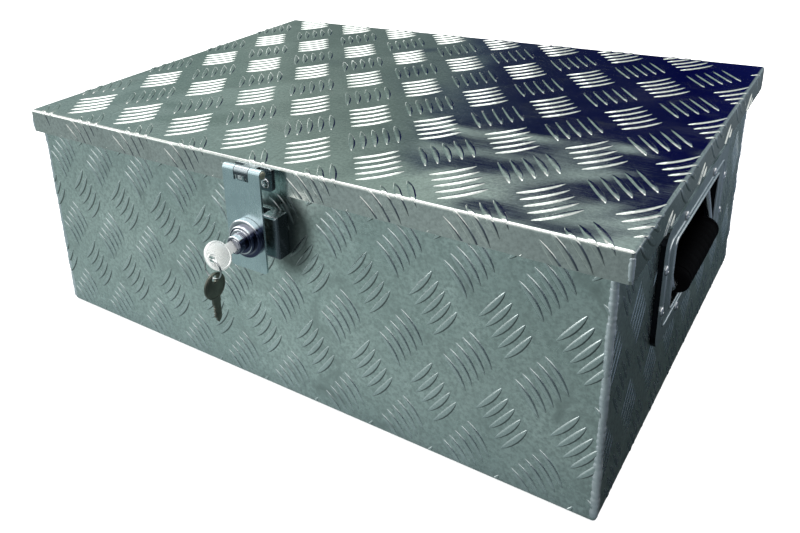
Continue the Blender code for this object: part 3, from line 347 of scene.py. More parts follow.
def add_face(bm, corners):
    """A face through the corners that differ, if there are enough."""
    unique = list(dict.fromkeys(corners))
    if len(unique) > 2:
        bm.faces.new(unique)


def bridge(bm, first, second):
    """Faces between two closed rings with the same number of vertices."""
    for i in range(len(first)):
        j = (i + 1) % len(first)
        bm.faces.new([first[i], first[j], second[j], second[i]])


def add_piece(name, bm, finish, body, replaced=(), smooth=40):
    """Makes a mesh piece, gives it its finish and puts it on its body."""
    bmesh.ops.recalc_face_normals(bm, faces=bm.faces)
    mesh = new_mesh(name, bm)
    mesh.materials.append(FINISH[finish])
    mesh.shade_smooth()
    mesh.set_sharp_from_angle(angle=math.radians(smooth))
    obj = new_object(name, mesh)
    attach(obj, body)
    if replaced:
        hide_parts(*replaced)
    return obj


def baked(obj):
    """A mesh of what an object's modifiers or curve settings make."""
    bpy.context.view_layer.update()
    graph = bpy.context.evaluated_depsgraph_get()
    return bpy.data.meshes.new_from_object(obj.evaluated_get(graph), preserve_all_data_layers=True,
                                           depsgraph=graph)


def bake_modifiers(obj):
    mesh = baked(obj)
    obj.modifiers.clear()
    obj.data = mesh


def weigh_normals(obj):
    """Keeps big flats flat beside their rounded edges."""
    modifier = obj.modifiers.new("flats", "WEIGHTED_NORMAL")
    modifier.keep_sharp = True
    bake_modifiers(obj)


def rounded_box(bm, low, high, radius, segments, keep=None):
    size, centre = Vector(high) - Vector(low), (Vector(high) + Vector(low)) / 2
    matrix = Matrix.Translation(centre) @ Matrix.Diagonal((*size, 1.0))
    verts = bmesh.ops.create_cube(bm, size=1.0, matrix=matrix)["verts"]
    if radius <= 0:
        return
    edges = sorted({e for v in verts for e in v.link_edges}, key=lambda e: e.index)
    if keep is not None:
        edges = [e for e in edges if keep(e)]
    bmesh.ops.bevel(bm, geom=edges, offset=radius, segments=segments, profile=0.5, affect="EDGES")


def cut_with(obj, low, high, radius=0.0, segments=4, keep=None):
    bm = bmesh.new()
    rounded_box(bm, low, high, radius, segments, keep)
    subtract(obj, bm)


def subtract(obj, bm):
    """Cuts a closed mesh out of an object, for good."""
    tool = new_object("cutter", new_mesh("cutter", bm))
    modifier = obj.modifiers.new("cut", "BOOLEAN")
    modifier.operation, modifier.object, modifier.solver = "DIFFERENCE", tool, "EXACT"
    bake_modifiers(obj)
    bpy.data.objects.remove(tool)


def along_axis(axis):
    """A test for edges that run along one axis."""
    return lambda edge: abs((edge.verts[0].co - edge.verts[1].co).normalized()[axis]) > 0.99


def spin(bm, profile, matrix, steps):
    """Turns a closed or axis-ended profile of (radius, height) about the matrix's Z."""
    rings = []
    for radius, height in profile:
        if radius < 1e-7:
            rings.append([bm.verts.new(matrix @ Vector((0, 0, height)))])
            continue
        ring = [matrix @ Vector((radius * math.cos(a), radius * math.sin(a), height))
                for a in (2 * math.pi * i / steps for i in range(steps))]
        rings.append([bm.verts.new(p) for p in ring])
    for first, second in zip(rings, rings[1:]):
        for i in range(steps):
            j = (i + 1) % steps
            corners = [first[i % len(first)], first[j % len(first)],
                       second[j % len(second)], second[i % len(second)]]
            add_face(bm, corners)
    return rings


def axis_matrix(point, outward):
    turn = Vector((0, 0, 1)).rotation_difference(Vector(outward)).to_matrix().to_4x4()
    return Matrix.Translation(point) @ turn


def tube(bm, path, radius, sides, closed=False, radii=None):
    """Sweeps a round section along a path of points."""
    path = [Vector(p) for p in path]
    count = len(path)
    rings = []
    normal = None
    for i, point in enumerate(path):
        before = path[i - 1] if closed or i > 0 else path[i]
        after = path[(i + 1) % count] if closed or i < count - 1 else path[i]
        ahead = (after - before).normalized()
        if normal is None:
            seed = Vector((0, 0, 1)) if abs(ahead.z) < 0.9 else Vector((1, 0, 0))
            normal = ahead.cross(seed).normalized()
        normal = (normal - ahead * normal.dot(ahead)).normalized()
        side = ahead.cross(normal)
        size = radii[i] if radii else radius
        turns = [2 * math.pi * k / sides for k in range(sides)]
        rings.append([bm.verts.new(point + normal * (size * math.cos(a)) + side * (size * math.sin(a)))
                      for a in turns])
    pairs = list(zip(rings, rings[1:]))
    if closed:
        pairs.append((rings[-1], rings[0]))
    for first, second in pairs:
        bridge(bm, first, second)
    if not closed:
        bm.faces.new(list(reversed(rings[0])))
        bm.faces.new(rings[-1])


def rounded_path(corners, radius, steps):
    """A polyline through corners, each inner corner replaced by an arc."""
    corners = [Vector(c) for c in corners]
    path = [corners[0]]
    for before, corner, after in zip(corners, corners[1:], corners[2:]):
        back, ahead = (before - corner).normalized(), (after - corner).normalized()
        half = back.angle(ahead) / 2
        centre = corner + (back + ahead).normalized() * (radius / math.sin(half))
        start = corner + back * (radius / math.tan(half)) - centre
        turn = math.pi - 2 * half
        axis = start.cross(corner + ahead * (radius / math.tan(half)) - centre).normalized()
        path += [centre + Matrix.Rotation(turn * i / steps, 3, axis) @ start for i in range(steps + 1)]
    path.append(corners[-1])
    return path


def rounded_loop(half_a, half_b, radius, steps):
    """Points of a rounded rectangle, centred on the origin."""
    points = []
    for sign_a, sign_b, start in ((1, 1, 0), (-1, 1, 90), (-1, -1, 180), (1, -1, 270)):
        for i in range(steps + 1):
            a = math.radians(start + 90 * i / steps)
            points.append((sign_a * (half_a - radius) + radius * math.cos(a),
                           sign_b * (half_b - radius) + radius * math.sin(a)))
    return points


# ---- tread bars ----
def add_bar(bm, centre, angle, bar):
    """One lens-shaped bar in the flat sheet's own (along, up, out) coordinates, as a closed body."""
    ahead = Vector((math.cos(angle), math.sin(angle)))
    side = Vector((-ahead.y, ahead.x))
    bow = -BAR_BOW if angle > 0 else BAR_BOW
    columns = []
    for s in ALONG:
        swell = max(0.0, 1 - s * s)
        width = bar["half_width"] * swell ** 0.75
        middle = Vector(centre) + ahead * (s * bar["length"] / 2) + side * (bow * (1 - 2 * s * s))
        if width < 1e-6:
            columns.append([bm.verts.new((*middle, -BAR_SINK))])
            continue
        column = []
        for t in ACROSS:
            fall = max(0.0, (abs(t) - TOP_FLAT) / (1 - TOP_FLAT)) ** 1.7
            rise = bar["height"] * (1 - fall) * (1 - abs(s) ** 6)
            column.append(bm.verts.new((*(middle + side * (t * width)), rise - BAR_SINK)))
        columns.append(column)
    for first, second in zip(columns, columns[1:]):
        for k in range(len(ACROSS) - 1):
            corners = [first[min(k, len(first) - 1)], second[min(k, len(second) - 1)],
                       second[min(k + 1, len(second) - 1)], first[min(k + 1, len(first) - 1)]]
            add_face(bm, corners)
    inner = columns[1:-1]
    foot = [columns[0][0]] + [c[0] for c in inner] + [columns[-1][0]] + [c[-1] for c in reversed(inner)]
    bm.faces.new(foot)


def tread_groups(start, pitch, first_angle, low, high):
    """Centres of the bar groups over a rectangle, on a centred lattice whose two kinds of group alternate."""
    second_angle = FALL_ANGLE if first_angle > 0 else RISE_ANGLE
    groups = []
    for offset, angle in ((0.0, first_angle), (0.5, second_angle)):
        for i in range(-12, 13):
            for j in range(-8, 9):
                u = start[0] + (i + offset) * pitch[0]
                v = start[1] + (j + offset) * pitch[1]
                if low[0] - 0.03 < u < high[0] + 0.03 and low[1] - 0.04 < v < high[1] + 0.04:
                    groups.append((u, v, angle))
    return groups


def bar_centres(groups, scale):
    """Each group's bars, stacked along the other group's slope."""
    for u, v, angle in groups:
        step = Vector(RISE_STEP if angle > 0 else FALL_STEP) * scale
        for k in range(BARS_IN_GROUP):
            yield Vector((u, v)) + step * (k - (BARS_IN_GROUP - 1) / 2), angle


def slice_at(bm, point, normal, **options):
    """Adds an edge line where a plane crosses the mesh."""
    geometry = bm.verts[:] + bm.edges[:] + bm.faces[:]
    bmesh.ops.bisect_plane(bm, geom=geometry, dist=1e-7, plane_co=point, plane_no=normal, **options)


def clip(bm, low, high):
    """Cuts away what lies outside a rectangle and closes the cut bodies."""
    for point, normal in (((low[0], 0, 0), (-1, 0, 0)), ((high[0], 0, 0), (1, 0, 0)),
                          ((0, low[1], 0), (0, -1, 0)), ((0, high[1], 0), (0, 1, 0))):
        slice_at(bm, point, normal, clear_outer=True)
        bmesh.ops.holes_fill(bm, edges=[e for e in bm.edges if e.is_boundary], sides=0)


def build_wall_tread(name, width_low, width_high, start, place, skip, finish, bar):
    """Bars on one upright wall of the body, ending at its folds."""
    low, high = (width_low + FOLD, FOLD), (width_high - FOLD, BODY_HIGH.z - FOLD)
    bm = bmesh.new()
    for centre, angle in bar_centres(tread_groups(start, BODY_PITCH, FALL_ANGLE, low, high), 1.0):
        if not skip(centre):
            add_bar(bm, centre, angle, bar)
    clip(bm, low, high)
    for vert in bm.verts:
        u, v, out = vert.co
        vert.co = place(u, v, -out)
    add_piece(name, bm, finish, "case", smooth=60)


def lid_fold(value, half):
    """Where a flat sheet coordinate lies once the sheet is folded: (along, drop, outward, upward)."""
    reach = abs(value) - half
    sign = math.copysign(1, value)
    if reach <= 0:
        return value, 0.0, 0.0, 1.0
    turn = min(reach / LID_FOLD, math.pi / 2)
    straight = reach - LID_FOLD * turn
    return (sign * (half + LID_FOLD * math.sin(turn)), LID_FOLD * (1 - math.cos(turn)) + straight,
            sign * math.sin(turn), math.cos(turn))


def build_lid_tread():
    """Bars rolled into the lid's sheet before it was folded, so they run over the folds on to the lips."""
    half_x = LID_HIGH.x - LID_FOLD
    half_y = LID_HIGH.y - LID_FOLD
    arc = LID_FOLD * math.pi / 2
    lip = LID_HIGH.z - LID_FOLD - LID_LOW.z
    reach_x, reach_y = half_x + arc + lip, half_y + arc + lip
    groups = tread_groups(LID_RISE, LID_PITCH, RISE_ANGLE, (-reach_x, -reach_y), (reach_x, reach_y))
    middle, ends = bmesh.new(), bmesh.new()
    for centre, angle in bar_centres(groups, LID_BAR_SPACING):
        near_end = abs(centre.x) > half_x - 0.013
        near_front = abs(centre.y) > half_y - 0.017
        under_bracket = centre.y < lip - reach_y and abs(centre.x) < HASP_HIGH.x
        if near_front and (near_end or under_bracket):
            continue
        add_bar(ends if near_end else middle, centre, angle, LID_BAR)
    trim = 0.0008
    for bm, wide, deep in ((middle, half_x - trim, reach_y - trim), (ends, reach_x - trim, half_y - trim)):
        clip(bm, (-wide, -deep), (wide, deep))
    for k in range(5):
        for sign in (-1, 1):
            slice_at(ends, (sign * (half_x + arc * k / 4), 0, 0), (1, 0, 0))
            slice_at(middle, (0, sign * (half_y + arc * k / 4), 0), (0, 1, 0))
    joined = new_mesh("lid_tread_ends", ends)
    middle.from_mesh(joined)
    bpy.data.meshes.remove(joined)
    for vert in middle.verts:
        u, v, out = vert.co
        x, drop_x, out_x, up_x = lid_fold(u, half_x)
        y, drop_y, out_y, up_y = lid_fold(v, half_y)
        vert.co = (x + out * out_x, y + out * out_y, LID_HIGH.z - drop_x - drop_y + out * up_x * up_y)
    add_piece("lid_tread", middle, "lid_tread_aluminium", "lid", smooth=60)


def build_treads():
    """Bars on the four walls, each wall with its own start of the lattice, and on the lid."""
    mid = BODY_FALL[0] + 5 * BODY_PITCH[0]
    plate_low, plate_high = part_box("handle_dish_right")

    def clear_of(low_u, high_u, low_v, high_v):
        return lambda c: low_u < c.x < high_u and low_v < c.y < high_v

    margin = 0.004
    staple = clear_of(STAPLE_LOW.x + margin, STAPLE_HIGH.x - margin,
                      STAPLE_LOW.z + margin, STAPLE_HIGH.z - margin)
    plate = clear_of(plate_low.y + margin, plate_high.y - margin, plate_low.z + margin, plate_high.z - margin)
    build_wall_tread("body_tread_front", BODY_LOW.x, BODY_HIGH.x, BODY_FALL,
                     lambda u, v, i: (u, BODY_LOW.y + i, v), staple, "tread_bars", BODY_BAR)
    build_wall_tread("body_tread_back", BODY_LOW.x, BODY_HIGH.x, (mid, BODY_FALL[1] + 0.02),
                     lambda u, v, i: (-u, BODY_HIGH.y - i, v), lambda c: False, "tread_bars", BODY_BAR)
    build_wall_tread("body_tread_right", BODY_LOW.y, BODY_HIGH.y, (-0.015, BODY_FALL[1]),
                     lambda u, v, i: (BODY_HIGH.x - i, u, v), plate, "end_bars", END_BAR)
    build_wall_tread("body_tread_left", BODY_LOW.y, BODY_HIGH.y, (0.012, BODY_FALL[1] + 0.01),
                     lambda u, v, i: (BODY_LOW.x + i, -u, v), plate, "end_bars", END_BAR)
    build_lid_tread()


# ---- sheets, welds, seal and mat ----
def build_sheets():
    """The body and the lid with smooth folds in place of the frame's faceted ones."""
    dish_low, dish_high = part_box("handle_dish_right")
    bowl_y, bowl_z = 0.0782, 0.0322
    bowl_mid = (dish_low.z + dish_high.z) / 2
    bm = bmesh.new()
    rounded_box(bm, BODY_LOW, BODY_HIGH, FOLD, 6)
    body = add_piece("body_sheet", bm, "tread_aluminium", "case", ["body_pan"], smooth=30)
    wall = Vector((SHEET,) * 3)
    cut_with(body, BODY_LOW + wall, BODY_HIGH - wall, FOLD - SHEET, 3)
    flange = Vector((RIM_FLANGE, RIM_FLANGE, 0))
    mouth_low = Vector((BODY_LOW.x, BODY_LOW.y, BODY_HIGH.z - 2 * SHEET)) + flange
    mouth_high = Vector((BODY_HIGH.x, BODY_HIGH.y, BODY_HIGH.z + SHEET)) - flange
    cut_with(body, mouth_low, mouth_high, 2 * FOLD, 6, along_axis(2))
    for low_x, high_x in ((BODY_LOW.x - SHEET, BODY_LOW.x + 2 * SHEET),
                          (BODY_HIGH.x - 2 * SHEET, BODY_HIGH.x + SHEET)):
        cut_with(body, (low_x, -bowl_y, bowl_mid - bowl_z), (high_x, bowl_y, bowl_mid + bowl_z),
                 FOLD, 4, along_axis(0))
    weigh_normals(body)
    bm = bmesh.new()
    rounded_box(bm, LID_LOW, LID_HIGH, LID_FOLD, 6,
                lambda e: (e.verts[0].co + e.verts[1].co).z / 2 > LID_LOW.z + SHEET)
    lid = add_piece("lid_sheet", bm, "lid_tread_aluminium", "lid", ["lid_pan"], smooth=30)
    cut_with(lid, (LID_LOW.x + SHEET, LID_LOW.y + SHEET, LID_LOW.z - SHEET), LID_HIGH - wall,
             LID_FOLD - SHEET, 2, lambda e: (e.verts[0].co + e.verts[1].co).z / 2 > LID_LOW.z)
    weigh_normals(lid)


def build_weld(name, body, centre, low_z, high_z, size, seed):
    """A rippled weld bead up one corner."""
    chance = random.Random(seed)
    step = 0.0008
    ripple_length = 0.0052
    drift_most, swell_most = 0.00012, 0.035
    count = int((high_z - low_z) / step)
    path, radii = [], []
    drift_x = drift_y = swell = 0.0
    for i in range(count + 1):
        drift_x = 0.93 * drift_x + chance.uniform(-drift_most, drift_most)
        drift_y = 0.93 * drift_y + chance.uniform(-drift_most, drift_most)
        swell = 0.90 * swell + chance.uniform(-swell_most, swell_most)
        ripple = math.sin(2 * math.pi * i * step / ripple_length + chance.uniform(-0.3, 0.3))
        ends = min(1.0, 0.45 + 0.55 * min(i, count - i) / 3)
        path.append((centre[0] + drift_x, centre[1] + drift_y, low_z + i * step))
        radii.append(size * ends * (0.95 + 0.03 * ripple + 1.1 * swell))
    bm = bmesh.new()
    tube(bm, path, size, 14, radii=radii)
    add_piece(name, bm, "weld", body, smooth=50)


def build_welds():
    """Beads up the corners of the body, then of the lid. The order sets each bead's seed."""
    seed = 1
    for name, body, slot, low, high, low_z, high_z, inward, size in (
            ("body_weld", "case", "tread_aluminium", BODY_LOW, BODY_HIGH,
             FOLD, BODY_HIGH.z - FOLD, 0.0023, 0.0033),
            ("lid_weld", "lid", "lid_tread_aluminium", LID_LOW, LID_HIGH,
             LID_LOW.z + 0.001, LID_HIGH.z - 0.0028, 0.0018, 0.0023)):
        for x, side in ((low.x, "left"), (high.x, "right")):
            for y, end in ((low.y, "front"), (high.y, "back")):
                centre = (x + math.copysign(inward, -x), y + math.copysign(inward, -y))
                build_weld(f"{name}_{end}_{side}", body, centre, low_z, high_z, size, seed)
                seed += 1


def build_seal():
    """Ribbed rubber strip round the rim, swept as one closed section."""
    low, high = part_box("rim_seal")
    width, tall = 0.010, high.z - low.z
    section = [(0, 0), (0, 0.55), (0.06, 0.80), (0.16, 0.93), (0.28, 0.90), (0.36, 0.74), (0.44, 0.90),
               (0.56, 1.0), (0.68, 0.92), (0.76, 0.74), (0.86, 0.84), (0.95, 0.70), (1.0, 0.50), (1.0, 0)]
    bm = bmesh.new()
    rings = []
    middle = (high.y + low.y) / 2
    for across, up in section:
        inset = across * width
        loop = rounded_loop(high.x - inset, (high.y - low.y) / 2 - inset, max(0.003, 0.012 - inset), 6)
        rings.append([bm.verts.new((x, middle + y, low.z + up * tall)) for x, y in loop])
    for first, second in zip(rings, rings[1:] + rings[:1]):
        bridge(bm, first, second)
    add_piece("rim_seal_ribbed", bm, "black_rubber", "case", ["rim_seal"], smooth=50)


def build_mat():
    """Ribbed mat: a sheet with low ribs along X."""
    low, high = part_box("floor_mat")
    pitch, base = 0.010, low.z + 0.6 * (high.z - low.z)
    profile = [(low.y, base)]
    y = low.y + 0.004
    while y + pitch < high.y - 0.002:
        for step, rise in ((0.0, 0), (0.0010, 0.8), (0.0020, 1), (0.0040, 1), (0.0050, 0.8), (0.0060, 0)):
            profile.append((y + step, base + rise * (high.z - base)))
        y += pitch
    profile += [(high.y, base), (high.y, low.z), (low.y, low.z)]
    bm = bmesh.new()
    ends = [[bm.verts.new((x, py, pz)) for py, pz in profile] for x in (low.x, high.x)]
    bridge(bm, *ends)
    for ring in ends:
        bm.faces.new(ring)
    add_piece("floor_mat_ribbed", bm, "black_rubber", "case", ["floor_mat"], smooth=50)


# ---- rivets ----
def build_rivet(node, body, outward):
    """A smooth dome with a mandrel dimple in place of the frame's twelve-sided one."""
    low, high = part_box(node)
    outward = Vector(outward)
    head_radius, head, shank, tail_radius, tail = 0.0042, 0.0015, 0.0021, 0.0031, 0.0014
    dimple_depth, dimple_floor, dimple_mouth = 0.0007, 0.0009, 0.0012
    edge, tail_edge = 0.0001, 0.0005
    top = abs((high - low).dot(outward)) / 2
    profile = [(0, top - dimple_depth), (dimple_floor, top - dimple_depth), (dimple_mouth, top - edge)]
    for i in range(1, 10):
        a = math.radians(16 + 74 * i / 9)
        profile.append((head_radius * math.sin(a), top - head + head * math.cos(a)))
    profile += [(head_radius, top - head + edge / 2), (head_radius - edge, top - head), (shank, top - head)]
    profile += [(shank, -top + tail), (tail_radius, -top + tail), (tail_radius, -top + 0.0004),
                (tail_radius - tail_edge, -top), (0, -top)]
    bm = bmesh.new()
    spin(bm, profile, axis_matrix((low + high) / 2, outward), 28)
    add_piece(node + "_domed", bm, "rivet_aluminium", body, [node], smooth=38)


def build_rivets():
    for side, outward in (("right", (1, 0, 0)), ("left", (-1, 0, 0))):
        for i in range(1, 9):
            build_rivet(f"handle_rivet_{side}_{i}", "case", outward)
        for i in (1, 2):
            build_rivet(f"hinge_body_rivet_{side}_{i}", "case", (0, 1, 0))
            build_rivet(f"hinge_lid_rivet_{side}_{i}", "lid", (0, 1, 0))
    for i in (1, 2):
        build_rivet(f"bracket_rivet_{i}", "lid", (0, -1, 0))
        build_rivet(f"staple_rivet_{i}", "case", (0, -1, 0))


# ---- handles ----
def build_handle(side):
    """The plate's beads, the bent rod and the grip of one end handle."""
    sign = 1 if side == "right" else -1
    dish_low, dish_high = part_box(f"handle_dish_{side}")
    bail_low, bail_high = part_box(f"handle_bail_{side}")
    grip_low, grip_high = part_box(f"handle_grip_{side}")
    face_x = dish_high.x if sign > 0 else dish_low.x
    mid_z = (dish_low.z + dish_high.z) / 2
    for name, (half_y, half_z, corner, sunk, section, sides) in PLATE_BEADS.items():
        bm = bmesh.new()
        loop = rounded_loop(half_y, half_z, corner, 7)
        tube(bm, [(face_x - sign * sunk, y, mid_z + z) for y, z in loop], section, sides, closed=True)
        add_piece(f"handle_{name}_{side}", bm, "handle_steel", "case", smooth=60)

    pivot_x = bail_low.x + BAIL_ROD if sign > 0 else bail_high.x - BAIL_ROD
    pivot_z = bail_high.z - BAIL_ROD
    bar_x = (grip_low.x + grip_high.x) / 2
    bar_z = (grip_low.z + grip_high.z) / 2
    end_y = bail_high.y
    corners = [(pivot_x, -end_y, pivot_z), (pivot_x, -BAIL_ARM_Y, pivot_z), (bar_x, -BAIL_ARM_Y, bar_z),
               (bar_x, BAIL_ARM_Y, bar_z), (pivot_x, BAIL_ARM_Y, pivot_z), (pivot_x, end_y, pivot_z)]
    bm = bmesh.new()
    tube(bm, rounded_path(corners, 0.0045, 9), BAIL_ROD, 20)
    add_piece(f"handle_bail_{side}_rod", bm, "bail_steel", f"handle_{side}", [f"handle_bail_{side}"], smooth=50)
    build_grip(side, bar_x, bar_z, grip_low, grip_high)


def build_grip(side, bar_x, bar_z, low, high):
    """Moulded rubber sleeve: end collars, a swelling middle and shallow grip rings."""
    radius = (high.z - low.z) / 2
    half = (high.y - low.y) / 2
    bore, rounding = 0.0037, 0.0035
    rings, ring_half, ring_dip = 9, 0.0016, 0.00016
    profile = [(bore, half)]
    for i in range(9):
        a = math.radians(90 * i / 8)
        profile.append((radius - rounding + 0.0032 * math.sin(a), half - rounding + rounding * math.cos(a)))
    profile += [(radius - 0.0003, half - 0.0055), (radius - 0.0010, half - 0.0062),
                (radius - 0.0010, half - 0.0074), (radius - 0.0004, half - 0.0080)]
    collar = len(profile)
    span = half - 0.012
    for i in range(rings):
        middle = span - 2 * span * i / (rings - 1)
        swell = 0.0003 * (1 - (middle / span) ** 2)
        for step, dip in ((ring_half, 0), (ring_half / 2, ring_dip),
                          (-ring_half / 2, ring_dip), (-ring_half, 0)):
            profile.append((radius - 0.0004 + swell - dip, middle + step))
    profile += [(r, -h) for r, h in reversed(profile[:collar])]
    bm = bmesh.new()
    made = spin(bm, profile, axis_matrix((bar_x, 0, bar_z), (0, 1, 0)), 40)
    bridge(bm, made[-1], made[0])
    add_piece(f"handle_grip_{side}_moulded", bm, "grip_rubber", f"handle_{side}", [f"handle_grip_{side}"],
              smooth=42)


# ---- lock, keys and ring ----
def soft_step(profile, radius, top, low, edge):
    """Adds a collar with a rounded outer rim, going down."""
    profile += arc_points((radius - edge, top - edge), edge, math.pi / 2, 0, 6) + [(radius, low)]


def build_lock():
    """The stepped collars and threaded shank, and the plug with its keyway."""
    bore, shank, thread_depth, threads, steps = 0.0061, 0.0082, 0.0004, 7, 72
    level = 0.0
    profile = [(bore, level)]
    for i, (radius, height, edge) in enumerate(COLLARS):
        if i == 1:
            profile.append((COLLARS[0][0] + 0.0002, level - 0.0002))
        soft_step(profile, radius, level, level - height, edge)
        level -= height
    end = -(HOUSING_HIGH.y - HOUSING_LOW.y)
    profile.append((shank, level))
    for i in range(threads):
        z = level - 0.0006 + (end - level + 0.0006) * i / threads
        profile += [(shank, z), (shank - thread_depth, z - 0.0006)]
    profile += [(shank - 0.0002, end), (bore, end)]
    bm = bmesh.new()
    made = spin(bm, profile, axis_matrix((LOCK_AXIS.x, HOUSING_LOW.y, LOCK_AXIS.z), (0, -1, 0)), steps)
    bridge(bm, made[-1], made[0])
    add_piece("lock_housing_turned", bm, "lock_chrome", "hasp", ["lock_housing"], smooth=34)

    length = PLUG_HIGH.y - PLUG_LOW.y
    head, neck, body_radius = 0.0080, 0.0075, 0.0058
    profile = [(0, 0.0), (0.0056, 0.0), (0.0058, -0.0003), (0.0062, -0.0003), (0.0064, 0.0)]
    soft_step(profile, head, 0.0, -0.0062, 0.0009)
    profile += [(neck, -0.0066), (neck, -0.0075), (body_radius, -0.0075), (body_radius, -length), (0, -length)]
    bm = bmesh.new()
    spin(bm, profile, axis_matrix((LOCK_AXIS.x, PLUG_LOW.y, LOCK_AXIS.z), (0, -1, 0)), steps)
    plug = add_piece("lock_plug_turned", bm, "lock_chrome", "plug", ["lock_plug"], smooth=34)
    cut_slot(plug)
    weigh_normals(plug)


def key_turn():
    """The key's own angle in the lock."""
    return Matrix.Translation((LOCK_AXIS.x, 0, LOCK_AXIS.z)) @ Matrix.Rotation(math.radians(52), 4, "Y")


def cut_slot(plug):
    """The keyway, at the key's own angle."""
    half_width, half_height, depth = 0.0041, 0.0013, 0.0223
    bm = bmesh.new()
    rounded_box(bm, (-half_width, PLUG_LOW.y - 0.001, -half_height),
                (half_width, PLUG_LOW.y + depth, half_height), 0, 1)
    bmesh.ops.transform(bm, matrix=key_turn(), verts=bm.verts)
    subtract(plug, bm)


def arc_points(centre, radius, start, end, count):
    step = (end - start) / (count - 1)
    return [(centre[0] + radius * math.cos(start + i * step), centre[1] + radius * math.sin(start + i * step))
            for i in range(count)]


def circle(centre, radius, count):
    return arc_points(centre, radius, 0, 2 * math.pi * (count - 1) / count, count)


def key_outline(bow, neck, neck_width, blade_width, blade_length):
    """The frame's key outline, with a finer bow."""
    spread = math.asin(neck_width / 2 / bow)
    points = arc_points((0, 0), bow, math.pi / 2 + spread, math.pi / 2 + 2 * math.pi - spread, 64)
    shoulder = bow + neck
    tip = shoulder + blade_length
    half = blade_width / 2
    points += [(neck_width / 2, shoulder - 0.0003), (half, shoulder - 0.0003)]
    pitch = (blade_length - half) / 6
    for i in range(6):
        depth = half * (0.55 if i % 2 else 0.25)
        y = shoulder + i * pitch
        points += [(half, y + 0.15 * pitch), (half - depth, y + 0.45 * pitch), (half - depth, y + 0.65 * pitch)]
    points += [(half * 0.4, tip - half * 0.5), (0, tip), (-half * 0.6, tip - half * 0.4)]
    points += [(-half, tip - half), (-half, shoulder - 0.0003), (-neck_width / 2, shoulder - 0.0003)]
    return points


def flat_key(name, node, body, finish, bow, hole_drop, outline, matrix):
    """A stamped key with softened edges, a raised rim and a boss round its hole."""
    thickness, soft, hole, boss = 0.0020, 0.00028, 0.0028, 0.0040
    curve = bpy.data.curves.new(name, "CURVE")
    curve.dimensions, curve.fill_mode = "2D", "BOTH"
    curve.extrude, curve.bevel_depth, curve.offset = thickness / 2 - soft, soft, -soft
    curve.bevel_resolution = 2
    for points in (outline, circle((0, -hole_drop), hole, 32)):
        spline = curve.splines.new("POLY")
        spline.points.add(len(points) - 1)
        for point, (x, y) in zip(spline.points, points):
            point.co = (x, y, 0, 1)
        spline.use_cyclic_u = True
    shape = new_object(name, curve)
    bm = bmesh.new()
    bm.from_mesh(baked(shape))
    bpy.data.objects.remove(shape)
    bmesh.ops.remove_doubles(bm, verts=bm.verts, dist=0.00001)
    for face_side in (-1, 1):
        z = face_side * (thickness / 2 - 0.00005)
        for centre, radius, count, section in (((0, 0), bow - 0.0013, 72, 0.00045),
                                               ((0, -hole_drop), boss, 48, 0.0005)):
            tube(bm, [(x, y, z) for x, y in circle(centre, radius, count)], section, 8, closed=True)
    bmesh.ops.transform(bm, matrix=matrix, verts=bm.verts)
    add_piece(name, bm, finish, body, [node], smooth=40)


def build_keys():
    bow, neck, drop = 0.0125, 0.0065, 0.0072
    spare_bow, spare_neck, spare_drop = 0.0115, 0.004, 0.0068
    blade_width = 0.0076
    bow_y = PLUG_LOW.y - neck - bow
    hole_y = bow_y - drop
    outline = key_outline(bow, neck, 0.0095, blade_width, 0.0220)
    flat_key("key_stamped", "key", "key", "key_nickel", bow, drop, outline,
             key_turn() @ Matrix.Translation((0, bow_y, 0)))
    ring_low, ring_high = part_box("key_ring")
    ring_z = (ring_low.z + ring_high.z) / 2
    ring_radius, turns, rise, steps = 0.0085, 1.85, 0.00045, 120
    path = []
    for i in range(steps + 1):
        a = -math.pi * 0.75 + 2 * math.pi * turns * i / steps
        path.append((LOCK_AXIS.x + ring_radius * math.cos(a), hole_y + rise * (2 * i / steps - 1),
                     ring_z + ring_radius * math.sin(a)))
    bm = bmesh.new()
    tube(bm, path, 0.0006, 8)
    add_piece("key_ring_split", bm, "ring_wire", "key_ring", ["key_ring"], smooth=60)
    hole_z = LOCK_AXIS.z - 2 * ring_radius
    hang = Matrix(((0, 0, 1, LOCK_AXIS.x), (1, 0, 0, hole_y), (0, -1, 0, hole_z), (0, 0, 0, 1)))
    hang = hang @ Matrix.Diagonal((-1, 1, -1, 1)) @ Matrix.Translation((0, spare_drop, 0))
    outline = key_outline(spare_bow, spare_neck, 0.0086, blade_width, 0.0175)
    flat_key("spare_key_stamped", "spare_key", "spare_key", "dark_key_nickel", spare_bow, spare_drop, outline,
             hang)


# ---- hasp details ----
def build_pin_heads():
    low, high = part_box("latch_pin")
    middle = (low + high) / 2
    for name, x, outward in (("right", HASP_HIGH.x + 0.0003, 1), ("left", HASP_LOW.x - 0.0003, -1)):
        profile = [(0, 0.0009)]
        for i in range(1, 7):
            a = math.radians(90 * i / 6)
            profile.append((0.0033 * math.sin(a), 0.0009 * math.cos(a)))
        profile += [(0.0033, -0.0001), (0.0019, -0.0001), (0.0019, -0.0006), (0, -0.0006)]
        bm = bmesh.new()
        spin(bm, profile, axis_matrix((x, middle.y, middle.z), (outward, 0, 0)), 32)
        add_piece(f"latch_pin_head_{name}", bm, "zinc_steel", "lid", smooth=40)


